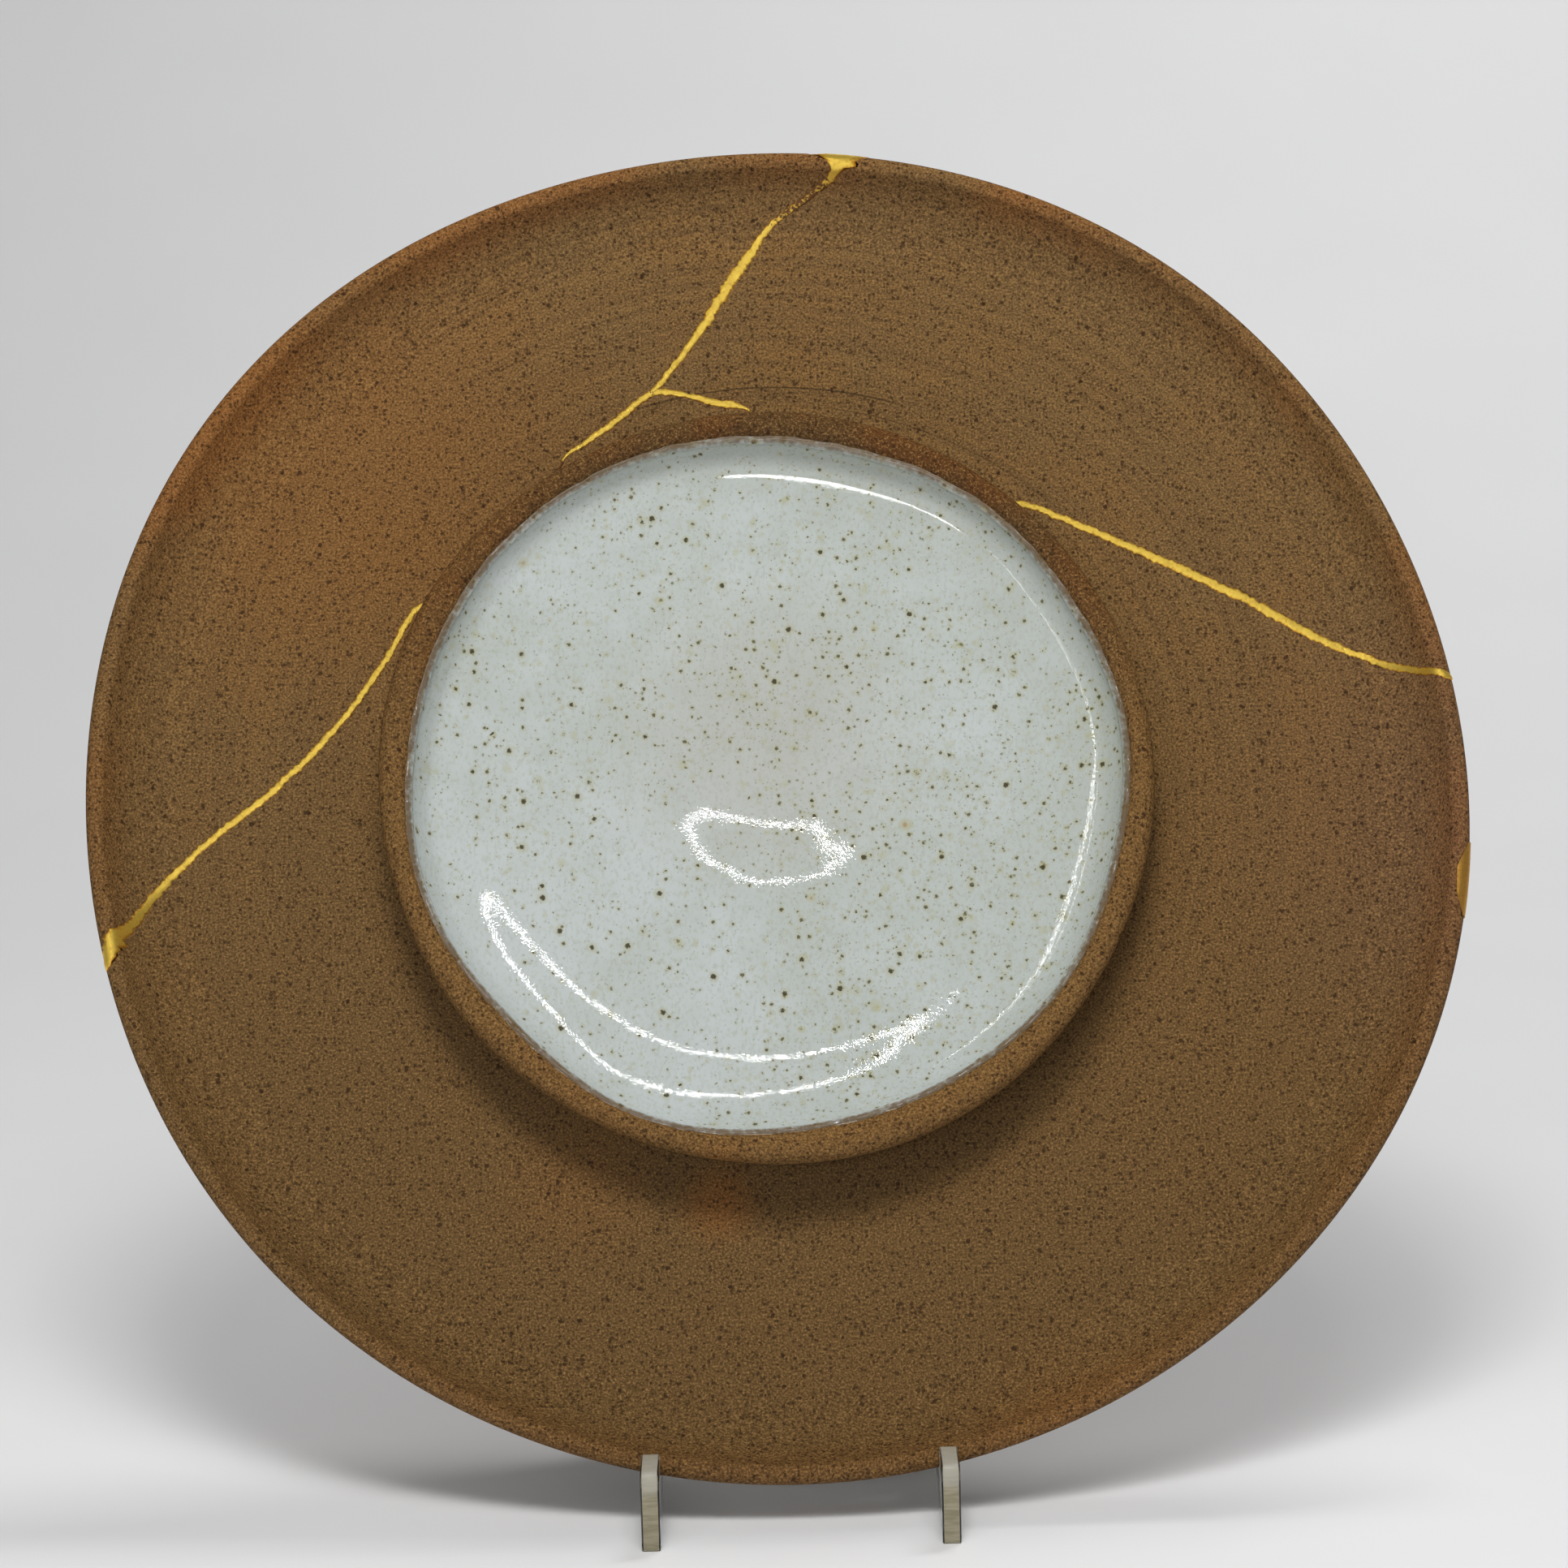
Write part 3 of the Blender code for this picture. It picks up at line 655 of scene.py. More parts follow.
def dish_rim(start, end, steps):
    centre = (DISH_RIM_RADIUS - DISH_RIM_ROUNDING, DISH_RIM_HEIGHT - DISH_RIM_ROUNDING)
    return arc(centre, DISH_RIM_ROUNDING, start, end, steps)


def dish_section():
    """The dish's section from the middle of its floor, over the rim, to its root in the plate."""
    flare = DISH_RIM_RADIUS - DISH_FOOT_RADIUS
    rim = dish_rim(172, -45, 26)
    outside = smooth_run([
        rim[-1],
        (DISH_FOOT_RADIUS + flare * 0.55, DISH_RIM_HEIGHT * 0.48),
        (DISH_FOOT_RADIUS + flare * 0.22, DISH_RIM_HEIGHT * 0.19),
        (DISH_FOOT_RADIUS + 1.0 * MM, 0.4 * MM),
        (DISH_FOOT_RADIUS, -DISH_ROOT),
    ], 5)
    return dish_inside() + rim + outside[1:] + [(0.0, -DISH_ROOT)]


def normals_along(points):
    """The unit normals to the left of an open line, for a line that runs outwards: upwards."""
    line = np.array(points)
    along = np.gradient(line, axis=0)
    along /= np.linalg.norm(along, axis=1)[:, None]
    return np.stack([-along[:, 1], along[:, 0]], axis=1)


def glaze_section():
    """The glaze's section: its shiny top out to its rounded edge, and back along its underside."""
    clay = np.array(dish_inside() + dish_rim(172, GLAZE_STOPS_AT, 5))
    normals = normals_along(clay)
    steps = np.linalg.norm(np.diff(clay, axis=0), axis=1)
    to_edge = np.append(np.cumsum(steps[::-1])[::-1], 0.0)
    roll = np.clip(to_edge / GLAZE_EDGE_ROLL, 0.0, 1.0)
    bead = GLAZE_EDGE_BEAD * np.exp(-((to_edge - GLAZE_EDGE_ROLL) / GLAZE_EDGE_ROLL) ** 2)
    thickness = (GLAZE_THICKNESS + bead) * np.sqrt(1 - (1 - roll) ** 2)
    top = clay + normals * thickness[:, None]
    under = clay - normals * GLAZE_SUNK
    under[-1] = clay[-1] - normals[-1] * GLAZE_SUNK / 2
    return [tuple(point) for point in np.concatenate([top, under[::-1]])]


def turned(name, section, tree, material, outer=None, inner=None, creep=None, **inputs):
    """A piece turned from its section, whose points sway and creep by the shares that the functions give."""
    nothing = np.zeros(len(section))
    mesh = line_mesh(name + "_section", [(radius, 0.0, height) for radius, height in section],
                     outer_sway=nothing if outer is None else outer,
                     inner_sway=nothing if inner is None else inner,
                     creep=np.zeros((len(section), 3)) if creep is None else creep)
    return grown(name, mesh, tree, material, **inputs)


def plate_sway(section):
    share = np.clip((np.array(section)[:, 0] - ROUND_WITHIN) / (PLATE_RADIUS - ROUND_WITHIN), 0.0, 1.0)
    return share ** 2


def dish_sway(section):
    """How much of the rim's sway and of the glaze edge's sway each point of the dish's section takes."""
    radius, height = np.array(section).T
    rim_inside = DISH_RIM_RADIUS - 2 * DISH_RIM_ROUNDING
    over_rim = np.clip((radius - rim_inside) / DISH_RIM_ROUNDING, 0.0, 1.0)
    inner = np.clip((radius - DISH_WALL_START) / (rim_inside - DISH_WALL_START), 0.0, 1.0) * (1 - over_rim)
    up_the_side = np.clip(height / (DISH_RIM_HEIGHT / 2), 0.0, 1.0)
    outer = np.where(radius > DISH_FOOT_RADIUS, over_rim * up_the_side, 0.0)
    return outer, inner


def glaze_creep(section):
    """The glaze's edge creeps up and down the clay: the way it moves, for each point of its section."""
    radius, height = np.array(section).T
    share = np.clip((height - DISH_RIM_HEIGHT * 0.6) / (DISH_RIM_HEIGHT * 0.3), 0.0, 1.0) ** 2
    lean = radians(GLAZE_STOPS_AT)
    return np.stack([share * sin(lean), share * 0.0, share * -cos(lean)], axis=1)


def path_mesh(name, mend, trimmed):
    """A mend's path with its half width and its cover. A trimmed path ends at the plate's rim."""
    run = np.array(mend) * (MM, MM, MM / 2, 1.0)
    if trimmed:
        for end, inner in ((0, 1), (-1, -2)):
            if np.hypot(*run[end, :2]) < PLATE_RADIUS:
                continue
            for share in np.linspace(0.0, 1.0, 400):
                place = run[end] + (run[inner] - run[end]) * share
                angle = np.arctan2(place[1], place[0])
                rim = PLATE_RADIUS + sum(c * cos(k * angle) + s * sin(k * angle) for k, c, s in RIM_WAVES)
                if np.hypot(*place[:2]) < rim:
                    run[end] = place
                    break
    points = [(x, y, 0.0) for x, y in run[:, :2]]
    return line_mesh(name, points, half_width=run[:, 2], cover=run[:, 3])


def chip_prism(name, margin):
    """The chip at the right of the rim as a prism that opens outwards and to the front."""
    corners = [Vector(corner) * MM for corner in RIM_CHIP]
    middle = sum(corners, Vector((0.0, 0.0))) / len(corners)
    outline = [corner + (corner - middle).normalized() * margin * 1.5 for corner in corners]
    floor = RIM_CHIP_FLOOR - margin
    shape = bmesh.new()
    low = [shape.verts.new((*corner, floor)) for corner in outline]
    high = [shape.verts.new((*corner, floor + 2 * LIP_HEIGHT)) for corner in outline]
    shape.faces.new(low)
    shape.faces.new(high)
    for place in range(len(outline)):
        shape.faces.new((low[place - 1], low[place], high[place], high[place - 1]))
    bmesh.ops.recalc_face_normals(shape, faces=shape.faces)
    return show(name, mesh_of(name, shape))


def stand_up(item):
    """Leans a piece that was made flat, with its face up, into its place on the stand."""
    item.data.transform(Matrix.Rotation(pi / 2 - PLATE_LEAN, 4, "X"))
    item.data.transform(Matrix.Translation(PLATE_CENTRE))
    smooth(item.data, 50)


def from_screen(red, green, blue):
    """A colour as it looks on a screen, 0 to 255, as the light that it gives back."""
    parts = [part / 255 for part in (red, green, blue)]
    light = [part / 12.92 if part <= 0.04045 else ((part + 0.055) / 1.055) ** 2.4 for part in parts]
    return (*light, 1.0)


def new_material(name, **plain):
    """A material with one Principled BSDF, and plain values on its sockets."""
    material = bpy.data.materials.new(name)
    material.use_nodes = True
    shader = material.node_tree.nodes["Principled BSDF"]
    for label, value in plain.items():
        shader.inputs[label.replace("_", " ")].default_value = value
    return material, Net(material.node_tree), shader


def give_surface(net, shader, colour, roughness, grain=None, strength=1.0):
    """Gives the shader its colour, its roughness and, if it has one, a grain as a height in millimetres."""
    values = {"Base Color": colour, "Roughness": roughness}
    if grain:
        grain = {"Height": grain, "Distance": MM, "Strength": strength}
        values["Normal"] = net.first("ShaderNodeBump", grain)
    for label, value in values.items():
        net.give(shader.inputs[label], value)


def room_place(net):
    return net.add("ShaderNodeTexCoord").outputs["Object"]


def plate_place(net):
    """Where a point lies on the plate, in millimetres: across, up the plate, and out of its face."""
    return net.first("ShaderNodeMapping", {
        "Vector": room_place(net), "Location": PLATE_CENTRE, "Rotation": (pi / 2 - PLATE_LEAN, 0.0, 0.0),
        "Scale": (MM, MM, MM)}, vector_type="TEXTURE")


def specks_group():
    """Iron specks: dots of uneven size in a share of the cells, each with a wider, paler halo."""
    net, given, result = new_tree("ShaderNodeTree", "iron_specks", {
        "Place": "Vector", "Spacing": 1.0, "Size": 0.3, "Share": 0.5, "Softness": 0.3,
    }, {"Speck": "Float", "Halo": "Float"})
    shifted = net.moved(given["Place"], net.join(net.times(given["Spacing"], 31.0)))
    scale = net.over(1.0, given["Spacing"])
    cells = net.add("ShaderNodeTexVoronoi", {"Vector": shifted, "Scale": scale}).outputs
    chance, spread, _ = net.split(cells["Color"])
    there = net.math("LESS_THAN", chance, given["Share"])
    radius = net.times(net.times(given["Size"], net.between(spread, 0.0, 1.0, 0.35, 1.25)), scale)
    sharp = net.times(radius, net.minus(1.0, given["Softness"]))
    for name, inner, outer in (("Speck", sharp, radius), ("Halo", radius, net.times(radius, 2.2))):
        dot = net.between(cells["Distance"], inner, outer, 1.0, 0.0)
        net.give(result[name], net.times(dot, there))
    return net.tree


def mottle_group():
    """Cloudy patches of two sizes, from nought to one."""
    net, given, result = new_tree("ShaderNodeTree", "kiln_mottle", {
        "Place": "Vector", "Broad": 60.0, "Narrow": 12.0}, {"Mask": "Float"})
    broad, narrow = [net.noise(given["Place"], net.over(1.0, given[size])) for size in ("Broad", "Narrow")]
    both = net.times_plus(broad, 0.6, net.times(narrow, 0.4))
    net.give(result["Mask"], net.between(both, 0.36, 0.64))
    return net.tree


def use_group(net, tree, **inputs):
    node = net.add("ShaderNodeGroup", node_tree=tree)
    for name, value in inputs.items():
        net.give(node.inputs[name], value)
    return node.outputs


def ragged(net, place):
    """The place moved a little to and fro, so that round specks get uneven outlines."""
    values = {"Vector": place, "Scale": 2.3, "Detail": 1.0}
    away = net.add("ShaderNodeTexNoise", values).outputs["Color"]
    return net.moved(place, net.scaled(net.vector("SUBTRACT", away, (0.5, 0.5, 0.5)), 0.7))


def spot(net, place, centre, inner, outer):
    """A soft round mask about a place on the plate, in millimetres."""
    return net.between(net.vector("DISTANCE", place, (*centre, 0.0)), inner, outer, 1.0, 0.0)


def stoneware(specks, mottle):
    """Unglazed, toasted stoneware: olive to orange brown, with sand, iron specks and throwing rings."""
    material, net, shader = new_material("speckled_stoneware", Roughness=0.85, Specular_IOR_Level=0.2)
    place = plate_place(net)
    x, y, height = net.split(place)
    flat = net.join(x, y)
    radius = net.length(flat)
    heading = net.scaled(flat, net.over(1.6, net.math("MAXIMUM", radius, 5.0)))
    rings = net.noise(net.moved(heading, net.join(z=net.times(radius, 0.55))), 1.0, 3.0, 0.7)
    fine_place = net.moved(net.scaled(heading, 0.6), net.join(5.0, 0.0, net.times(radius, 1.5)))
    fine_rings = net.noise(fine_place, 1.0, 1.0)
    clouds = use_group(net, mottle, Place=place, Broad=70.0, Narrow=14.0)["Mask"]
    colour = net.mixed(clouds, from_screen(120, 93, 57), from_screen(127, 94, 54))
    colour = net.tinted(colour, net.between(rings, 0.35, 0.65, 0.0, 0.7), (104, 79, 49))
    colour = net.tinted(colour, net.between(fine_rings, 0.5, 0.75, 0.0, 0.5), (92, 68, 40))
    patches = net.between(net.noise(place, 0.02), 0.4, 0.62, 0.1, 0.65)
    patches = net.math("MAXIMUM", patches, net.between(y, -110.0, -130.0, 0.0, 0.75))
    colour = net.tinted(colour, net.times(net.between(radius, 144.0, 152.0), patches), (134, 84, 42))
    # darker and more olive towards the bottom of the plate
    low_down = net.between(net.times_plus(x, 0.1, y), -110.0, 100.0, 0.75, 0.0)
    colour = net.tinted(colour, low_down, (97, 73, 42))

    # the dish's rim is browner, and painted shade darkens it most of all at its top, where its inner side
    # faces down
    dish_radius = net.vector("DISTANCE", flat, (DISH_PLACE.x / MM, 0.0, 0.0))
    on_rim = net.times(net.between(height, 9.0, 15.0), net.between(dish_radius, 92.0, 90.0))
    patches = net.between(net.noise(place, 0.05), 0.4, 0.65)
    rim_colour_and_shade = net.mixed(patches, from_screen(80, 56, 30), from_screen(88, 52, 22))
    # painted shade: towards the top the rim keeps the darker brown; lower down it turns lighter and sandier
    rim_colour_and_shade = net.tinted(rim_colour_and_shade, net.between(y, -10.0, 66.0, 0.85, 0.0), (122, 90, 50))
    colour = net.mixed(net.times(on_rim, 0.9), colour, rim_colour_and_shade)

    # flashes of the kiln: middle, inner and outer radius, strength, shade
    for centre, inner, outer, strength, shade in (
            ((-14.6, -91.5), 1.0, 12.0, 0.5, (144, 88, 36)), ((-45.0, -86.0), 3.0, 24.0, 0.12, (144, 88, 36)),
            ((62.0, -148.0), 6.0, 34.0, 0.15, (144, 88, 36)), ((-96.0, 84.0), 10.0, 75.0, 0.3, (144, 88, 36)),
            ((165.0, -10.0), 5.0, 80.0, 0.35, (108, 74, 62))):
        colour = net.tinted(colour, spot(net, flat, centre, inner, outer), shade, strength)

    sand = net.noise(place, 1.9, 3.0, 0.75)
    colour = net.tinted(colour, net.between(sand, 0.34, 0.54, 0.85, 0.0), (64, 46, 24))
    colour = net.tinted(colour, net.between(sand, 0.5, 0.7, 0.0, 0.62), (172, 134, 80))
    scattered = ragged(net, place)
    for spacing, size, share, strength in ((0.95, 0.44, 0.55, 0.7), (2.2, 0.54, 0.4, 0.8)):
        found = use_group(net, specks, Place=scattered, Spacing=spacing, Size=size, Share=share, Softness=0.4)
        colour = net.tinted(colour, found["Speck"], (46, 28, 14), strength)

    # two lines scribed round the dish: radius, sharp and soft half width, where they run, strength, shade
    bearing = net.over(x, radius)
    for at, sharp, soft, stretch, strength, shade in (
            (99.2, 0.12, 0.3, ((bearing, -0.31, -0.27), (bearing, 0.29, 0.33, 1.0, 0.0), (y, 0.0, 1.0)),
             0.6, (40, 28, 18)),
            (94.8, 0.1, 0.28, ((bearing, 0.1, 0.2), (y, 60.0, 75.0)), 0.4, (50, 34, 22))):
        line = net.between(net.math("ABSOLUTE", net.minus(radius, at)), sharp, soft, 1.0, 0.0)
        for ramp in stretch:
            line = net.times(line, net.between(*ramp))
        colour = net.tinted(colour, line, shade, strength)
    grain = net.times_plus(sand, net.times_plus(on_rim, 0.12, 0.09), net.times(rings, 0.05))
    give_surface(net, shader, colour, net.between(sand, 0.3, 0.7, 0.9, 0.7), grain, 0.9)
    return material


def glaze_finish(specks, mottle):
    """Pale blue-grey glaze, glossy, with olive and brown iron specks and a toasted edge."""
    material, net, shader = new_material("pale_speckled_glaze", Roughness=0.1, IOR=1.52)
    place = plate_place(net)
    x, y, height = net.split(place)
    flat = net.join(x, y)
    clouds = use_group(net, mottle, Place=place, Broad=45.0, Narrow=9.0)["Mask"]
    colour = net.mixed(clouds, from_screen(187, 193, 191), from_screen(178, 184, 179))
    colour = net.tinted(colour, spot(net, flat, (-2.0, 14.0), 6.0, 46.0), (172, 170, 160), 0.5)
    drawn_down = net.join(x, net.times(y, 0.55), height)
    curdle = net.noise(drawn_down, 1.3, 2.0, 0.65)
    colour = net.tinted(colour, net.between(curdle, 0.45, 0.75, 0.0, 0.4), (156, 158, 142))
    # darker and greener towards the upper and right walls of the dish
    upper_wall = net.between(net.vector("DISTANCE", flat, (-24.0, -22.0, 0.0)), 84.0, 108.0, 0.0, 0.22)
    colour = net.tinted(colour, upper_wall, (140, 142, 122))
    gather = net.between(net.noise(place, 0.045), 0.35, 0.6, 0.6, 1.7)
    thick = net.times(gather, net.between(x, -60.0, 50.0, 0.65, 1.1))
    thick = net.plus(thick, net.between(height, 15.5, 18.0, 0.0, 1.5))
    scattered = ragged(net, place)
    # specks: spacing, size, share, softness, strength, strength of the halo, shade
    for spacing, size, share, softness, strength, halo, shade in (
            (0.9, 0.28, 0.8, 0.9, 0.5, 0.0, (112, 116, 96)), (1.5, 0.36, 0.7, 0.7, 0.75, 0.15, (92, 92, 60)),
            (2.1, 0.46, 0.5, 0.5, 0.85, 0.3, (74, 68, 30)), (3.8, 0.66, 0.4, 0.45, 0.92, 0.35, (58, 50, 20)),
            (7.0, 0.8, 0.08, 0.8, 0.7, 0.4, (160, 110, 48))):
        found = use_group(net, specks, Place=scattered, Spacing=spacing, Size=size, Softness=softness,
                          Share=net.times(thick, share))
        colour = net.tinted(colour, found["Halo"], (166, 162, 112), halo)
        colour = net.tinted(colour, found["Speck"], shade, strength)
    edge = net.between(net.plus(height, net.swing(place, 0.9, 1.6, 3.0)), 17.3, 18.6)
    colour = net.tinted(colour, edge, (92, 70, 42), 0.9)
    peel = net.times_plus(net.noise(place, 1.6, 1.0), 0.009, net.times(net.noise(place, 0.2, 1.0), 0.02))
    give_surface(net, shader, colour, net.between(net.noise(place, 0.3, 3.0), 0.3, 0.7, 0.02, 0.04), peel)
    return material


def gold_finish(name, bright, flank_shade_and_dust_colour, least_cover):
    """Gold dust on lacquer: bright on the bead, browner at its edges, where painted shade lies on the bead's
    rounded flanks, and where the dust is thin.
    """
    material, net, shader = new_material(name, Roughness=0.4, Metallic=1.0)
    to_edge, cover = [net.add("ShaderNodeAttribute", attribute_name=key).outputs["Fac"]
                      for key in ("to_edge", "cover")]
    dust = net.noise(plate_place(net), 1.4, 4.0, 0.7)
    uneven = net.minus(dust, 0.5)
    # painted shade: the bead's rounded flanks are tinted orange brown
    colour = net.tinted(from_screen(*bright), net.between(net.plus(to_edge, uneven), 0.55, 1.05), flank_shade_and_dust_colour)
    colour = net.tinted(colour, net.between(dust, 0.5, 0.75, 0.0, 0.5), flank_shade_and_dust_colour)
    worn = net.plus(net.math("MAXIMUM", cover, least_cover), uneven)
    bare = net.between(worn, 0.45, 0.6, 1.0, 0.0)
    colour = net.tinted(colour, bare, (96, 58, 20))
    net.give(shader.inputs["Metallic"], net.between(bare, 0.0, 1.0, 0.8, 0.3))
    give_surface(net, shader, colour, net.between(dust, 0.3, 0.7, 0.3, 0.55), net.times(dust, 0.12))
    return material


def make_ceramics():
    """The three shards, the glaze, the gold seams and the mended chip, made flat and then stood up."""
    specks = specks_group()
    mottle = mottle_group()
    clay = stoneware(specks, mottle)
    glaze = glaze_finish(specks, mottle)
    gold = gold_finish("gold_lacquer", (255, 216, 92), (206, 138, 38), 0.0)
    dull_gold = gold_finish("dull_gold_lacquer", (214, 160, 72), (176, 118, 46), 0.9)
    plate_tree = turning_tree("turned_plate", RIM_WAVES, ())
    dish_tree = turning_tree("turned_dish", DISH_RIM_WAVES, GLAZE_WAVES)
    mend_tree = lacquer_tree()

    section = plate_section()
    plate = turned("plate", section, plate_tree, clay, outer=plate_sway(section),
                   ring_depth=0.07 * MM, ring_pitch=4.5 * MM, lump_depth=0.05 * MM, lump_size=30 * MM)
    mends = ((LONG_MEND, 3.0), (TOP_MEND, 11.0))
    seams = [grown("gold_seams", path_mesh("seam_path", mend, True), mend_tree, gold, clay=plate, seed=seed)
             for mend, seed in mends]
    gold_seams = combined(seams[0], seams[1], "UNION")
    swollen = plate_section(LACQUER_PROUD * 0.8)
    chip = turned("rim_chip_fill", swollen, plate_tree, dull_gold, outer=plate_sway(swollen),
                  ring_depth=0.02 * MM, lump_depth=0.04 * MM, lump_size=3 * MM)
    chip = combined(chip, chip_prism("chip_filling", 0.0), "INTERSECT")
    for mend, seed in mends:
        blade = grown("blade", path_mesh("blade_path", mend, False), mend_tree, clay, clay=plate, seed=seed,
                      cut_through=True, narrower=CRACK_INSIDE_LACQUER)
        plate = combined(plate, blade, "DIFFERENCE")
    plate = combined(plate, chip_prism("chip_cut", -CRACK_INSIDE_LACQUER), "DIFFERENCE")
    shards = {}
    for shard in separate(plate):
        low = min(vertex.co.y for vertex in shard.data.vertices)
        left = min(vertex.co.x for vertex in shard.data.vertices)
        node = "main_shard_with_dish" if low < -WELL_RADIUS else (
            "upper_left_shard" if left < -WELL_RADIUS / 2 else "upper_right_shard")
        shards[node] = shard
    section = dish_section()
    outer, inner = dish_sway(section)
    dish = turned("dish", section, dish_tree, clay, outer=outer, inner=inner,
                  dimple_depth=DISH_DIMPLE_DEPTH, dimple_place=DISH_DIMPLE_PLACE,
                  ring_depth=0.1 * MM, ring_pitch=3.0 * MM, lump_depth=0.35 * MM, lump_size=22 * MM, seed=5.0)
    dish.data.transform(Matrix.Translation(DISH_PLACE))
    shards["main_shard_with_dish"] = combined(shards["main_shard_with_dish"], dish, "UNION")
    section = glaze_section()
    _, inner = dish_sway(section)
    glaze_coat = turned("dish_glaze", section, dish_tree, glaze, inner=inner, creep=glaze_creep(section),
                        dimple_depth=DISH_DIMPLE_DEPTH, dimple_place=DISH_DIMPLE_PLACE,
                        ring_depth=0.01 * MM, ring_pitch=9.0 * MM, lump_depth=0.06 * MM, lump_size=30 * MM,
                        creep_depth=0.8 * MM, creep_length=5 * MM, seed=5.0)
    glaze_coat.data.transform(Matrix.Translation(DISH_PLACE))

    for node, piece_name in (("main_shard_with_dish", "clay_main_shard"),
                             ("upper_left_shard", "clay_upper_left_shard"),
                             ("upper_right_shard", "clay_upper_right_shard")):
        shards[node].name = piece_name
        place_piece(shards[node], "stoneware", node)
    place_piece(glaze_coat, "pale_glaze")
    place_piece(gold_seams, "gold_lacquer", "gold_lacquer_seam")
    place_piece(chip, "dull_gold_lacquer", "gold_rim_fill")


def place_piece(piece, slot, *nodes):
    stand_up(piece)
    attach(piece, "root")
    if nodes:
        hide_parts(*nodes)


def acrylic_materials():
    """Clear acrylic: polished faces, and edges that the saw has left frosted."""
    polished, net, shader = new_material("clear_acrylic", Roughness=0.03, IOR=1.49, Transmission_Weight=1.0)
    haze = net.noise(room_place(net), 90.0, 3.0)
    colour = net.mixed(haze, (0.90, 0.93, 0.90, 1.0), (0.84, 0.88, 0.84, 1.0))
    give_surface(net, shader, colour, net.between(haze, 0.4, 0.7, 0.02, 0.08))
    sawn, net, shader = new_material("sawn_acrylic", Roughness=0.4, IOR=1.49, Transmission_Weight=0.4)
    x, y, z = net.split(net.scaled(room_place(net), 1 / MM))
    marks = net.noise(net.join(net.times(x, 0.4), y, net.times(z, 3.0)), 0.5, 3.0)
    colour = net.mixed(net.between(marks, 0.35, 0.65), (0.50, 0.44, 0.30, 1.0), (0.34, 0.30, 0.18, 1.0))
    colour = net.mixed(net.between(z, 11.0, 14.5, 0.0, 0.7), colour, (0.62, 0.60, 0.52, 1.0))
    give_surface(net, shader, colour, net.between(marks, 0.3, 0.7, 0.3, 0.5), net.times(marks, 0.08))
    return polished, sawn


def make_stand():
    """The stand's sheets as the solids have them, with broken edges and sawn narrow faces."""
    materials = acrylic_materials()
    for node in ("stand_side_left", "stand_side_right", "stand_upper_cross_bar", "stand_lower_cross_bar"):
        name = node.replace("stand", "acrylic").replace("cross_", "")
        shape = shape_of(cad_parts[node].data)
        bmesh.ops.remove_doubles(shape, verts=shape.verts, dist=0.01 * MM)
        bmesh.ops.dissolve_limit(shape, angle_limit=radians(1.0), verts=shape.verts, edges=shape.edges)
        sheet = show(name + "_cut", mesh_of(name, shape, *materials))
        bevel = sheet.modifiers.new("broken_edges", "BEVEL")
        bevel.width = BROKEN_EDGE
        bevel.segments = 2
        bevel.limit_method = "ANGLE"
        bevel.angle_limit = radians(40)
        piece = plain_mesh(sheet, name)
        for face in piece.data.polygons:
            broken_edge = 0.1 < abs(face.normal.x) < 0.95
            sheet_face = abs(face.normal.x) > 0.7 if "side" in name else face.area > NARROW_FACE
            face.material_index = 0 if sheet_face or broken_edge else 1
        smooth(piece.data, 30)
        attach(piece, "root")
        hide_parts(node)


def make_stage():
    """A pale sweep: floor, bend and back wall in one sheet."""
    material, net, shader = new_material("pale_paper")
    fibre = net.noise(room_place(net), 14.0, 0.0)
    give_surface(net, shader, net.mixed(fibre, (0.80, 0.80, 0.80, 1.0), (0.78, 0.78, 0.785, 1.0)), 0.9)
    half_width = 3.0
    bend = 1.2
    bend_from = 0.7
    line = [(-2.5, 0.0)] + arc((bend_from, bend), bend, -90, 0, 24) + [(bend_from + bend, 3.5)]
    mesh = bpy.data.meshes.new("sweep")
    points = [(side * half_width, y, z) for y, z in line for side in (-1, 1)]
    faces = [(2 * i, 2 * i + 1, 2 * i + 3, 2 * i + 2) for i in range(len(line) - 1)]
    mesh.from_pydata(points, [], faces)
    mesh.materials.append(material)
    smooth(mesh)
    show("sweep", mesh)


def add_area(name, place, aim, width, length, power, shiny=True):
    light = bpy.data.lights.new(name, "AREA")
    light.shape = "RECTANGLE"
    light.size = width
    light.size_y = length
    light.energy = power
    lamp = show(name, light)
    lamp.location = place
    lamp.rotation_euler = (Vector(aim) - Vector(place)).to_track_quat("-Z", "Y").to_euler()
    lamp.visible_glossy = shiny
    return lamp


def from_plate(azimuth, elevation, distance):
    """A place in the room, seen from the plate: degrees to the right of the camera's side, and up."""
    turn, rise = radians(azimuth), radians(elevation)
    return PLATE_CENTRE + Vector((sin(turn) * cos(rise), -cos(turn) * cos(rise), sin(rise))) * distance


def rounded_frame(width, height, rounding):
    """Four straight runs and four corners, as the middle, the length and the turn of short strips."""
    runs = []
    for quarter in range(4):
        long_side = (width if quarter % 2 else height) / 2
        reach = (height if quarter % 2 else width) / 2
        turn = Matrix.Rotation(pi / 2 * quarter, 3, "Z")
        runs.append((turn @ Vector((reach, 0.0, 0.0)), 2 * (long_side - rounding), pi / 2 * quarter))
        for step in range(4):
            angle = pi / 8 * (step + 0.5)
            corner = Vector((reach - rounding, long_side - rounding, 0.0))
            corner += Vector((cos(angle), sin(angle), 0.0)) * rounding
            runs.append((turn @ corner, rounding * pi / 8, pi / 2 * quarter + angle))
    return runs


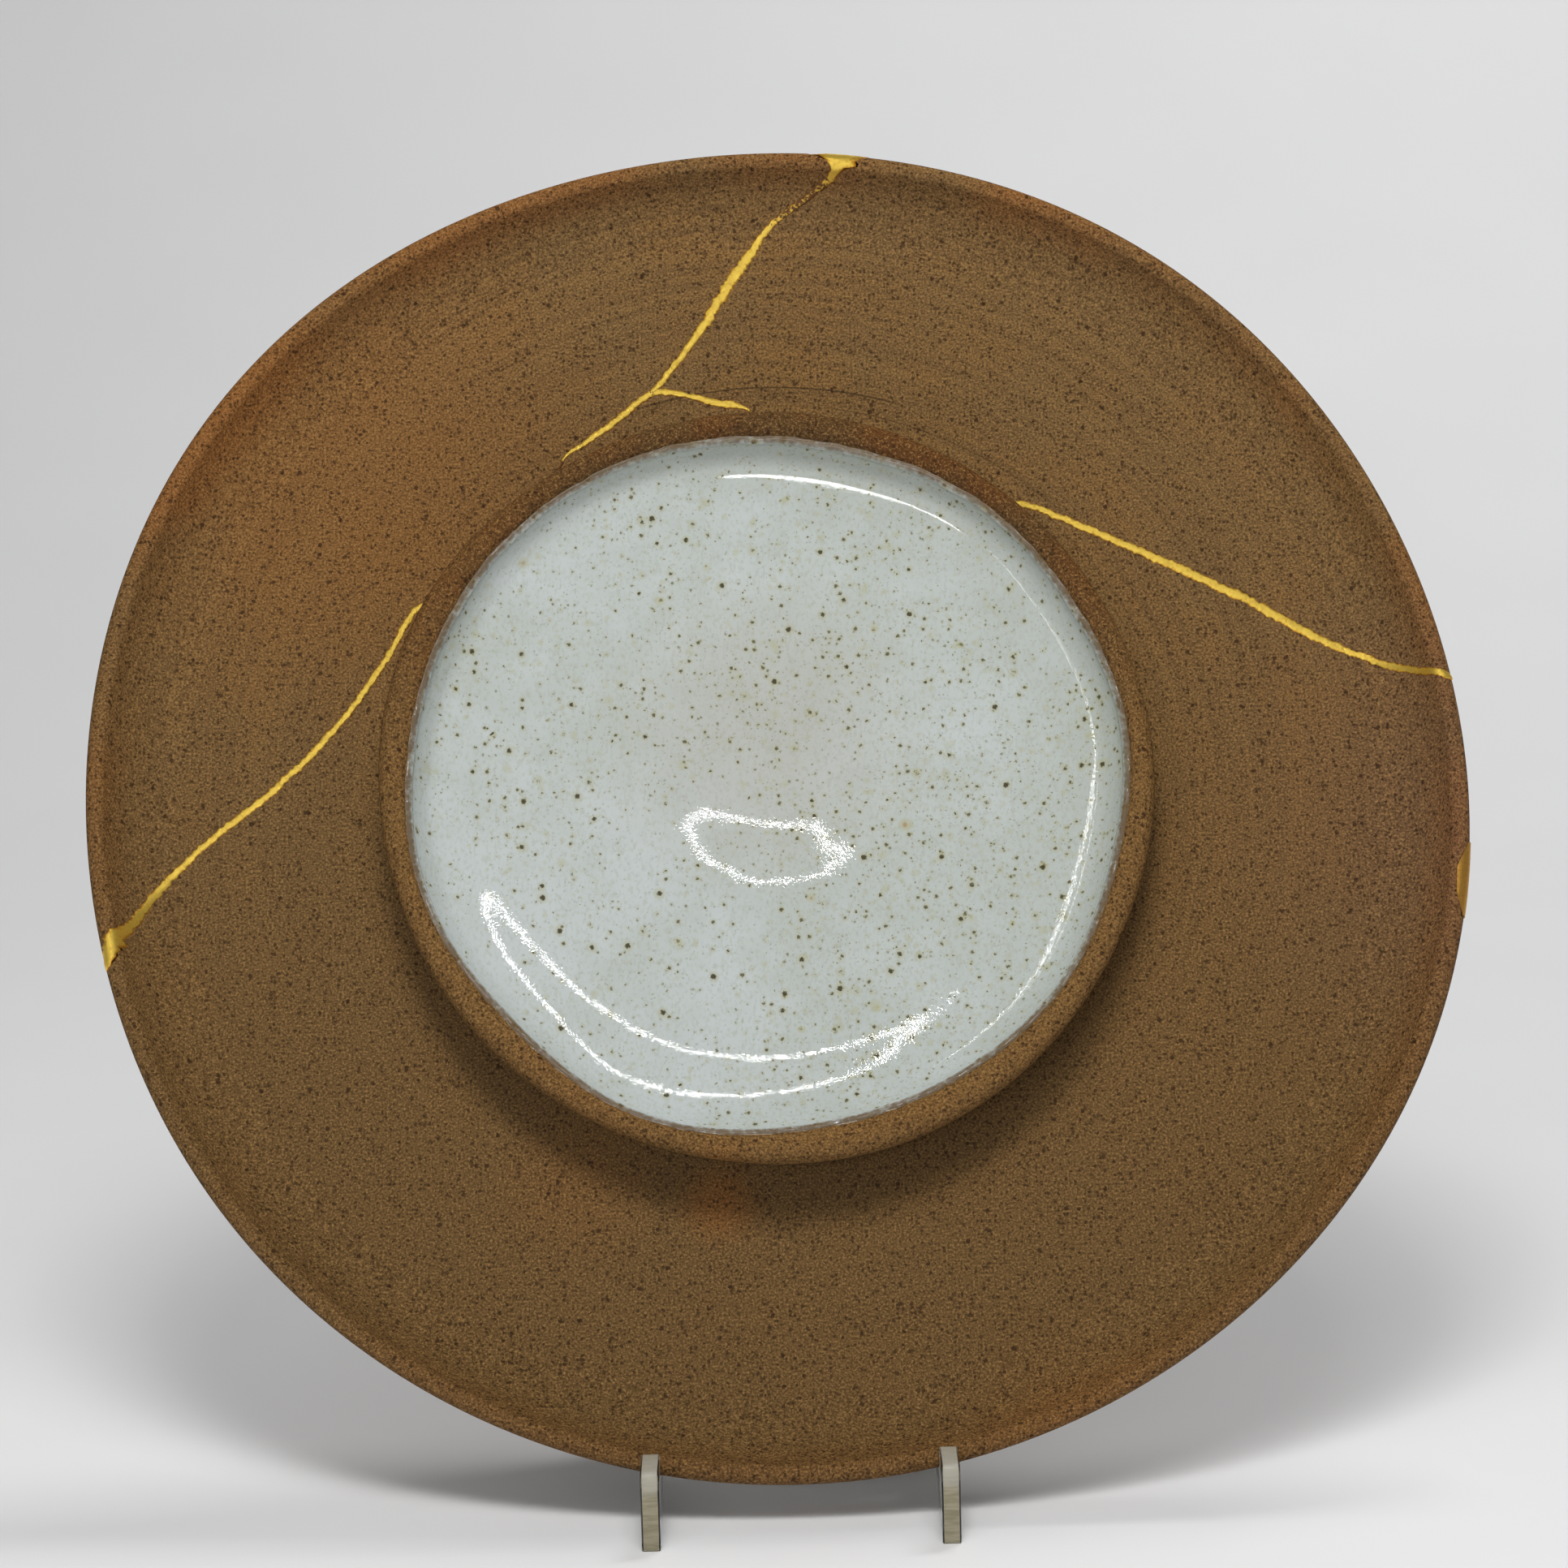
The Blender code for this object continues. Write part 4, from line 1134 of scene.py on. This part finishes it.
def frame_light(name, azimuth, elevation, distance, width, height, rounding, thickness, power):
    """A soft box that shines along its edge only, as a frame of strips that face the plate."""
    middle = from_plate(azimuth, elevation, distance)
    facing = (PLATE_CENTRE - middle).to_track_quat("-Z", "Y").to_matrix()
    runs = rounded_frame(width, height, rounding)
    total = sum(length for _, length, _ in runs)
    for place, length, turn in runs:
        strip_power = power * length / total
        lamp = add_area(name, middle + facing @ place, PLATE_CENTRE, thickness, length, strip_power)
        lamp.rotation_euler = (facing @ Matrix.Rotation(turn, 3, "Z")).to_euler()


def make_light():
    """Soft boxes and windows, given by their place as seen from the plate, their width, length and watts."""
    frame_light("key_frame", 7.5, 51.5, 1.2, 0.4, 0.3, 0.11, 0.008, 1.5)
    for name, place, width, length, power, shiny in (
            ("key_fill", (-4.0, 51.5, 1.2), 0.34, 0.24, 5.3, False),
            ("low_strip", (-9.0, 12.5, 1.6), 0.6, 0.11, 3.2, True),
            ("left_window", (-30.0, 36.0, 1.6), 0.012, 1.7, 1.7, True),
            ("left_window_frame", (-34.0, 40.0, 1.6), 0.006, 1.5, 0.7, True)):
        add_area(name, from_plate(*place), PLATE_CENTRE, width, length, power, shiny)
    aim = PLATE_CENTRE + Vector((-0.03, 0.0, 0.1))
    add_area("soft_box", from_plate(6.0, 48.0, 1.1), aim, 0.4, 0.4, 3.2, False)
    add_area("wall_wash", (0.7, 0.8, 2.0), (0.45, 1.5, 0.3), 1.1, 0.5, 22.5, False)
    world = bpy.data.worlds.new("studio")
    bpy.context.scene.world = world
    world.use_nodes = True
    background = world.node_tree.nodes["Background"]
    background.inputs["Color"].default_value = (0.97, 0.98, 1.0, 1.0)
    background.inputs["Strength"].default_value = 0.1


def make_camera():
    """The photograph's viewing angle: the camera looks at the middle of the plate from the front."""
    behind = Vector((0.0, -cos(CAMERA_ELEVATION), sin(CAMERA_ELEVATION)))
    right = Vector((0.0, 0.0, 1.0)).cross(behind).normalized()
    up = behind.cross(right)
    back = behind * cos(CAMERA_PAN) * cos(CAMERA_TILT) - right * sin(CAMERA_PAN) - up * sin(CAMERA_TILT)
    back.normalize()
    level_right = up.cross(back).normalized()
    level_up = back.cross(level_right)
    right = level_right * cos(CAMERA_ROLL) + level_up * sin(CAMERA_ROLL)
    up = level_up * cos(CAMERA_ROLL) - level_right * sin(CAMERA_ROLL)
    data = bpy.data.cameras.new("camera")
    data.lens = CAMERA_LENS
    data.sensor_width = CAMERA_SENSOR
    data.clip_end = CAMERA_SEES_TO
    camera = show("camera", data)
    placed = Matrix((right, up, back)).transposed().to_4x4()
    placed.translation = PLATE_CENTRE + behind * CAMERA_DISTANCE
    camera.matrix_world = placed
    bpy.context.scene.camera = camera


make_camera()
make_stage()
make_light()
make_ceramics()
make_stand()
bpy.context.scene.view_settings.view_transform = "Standard"
bpy.context.view_layer.update()
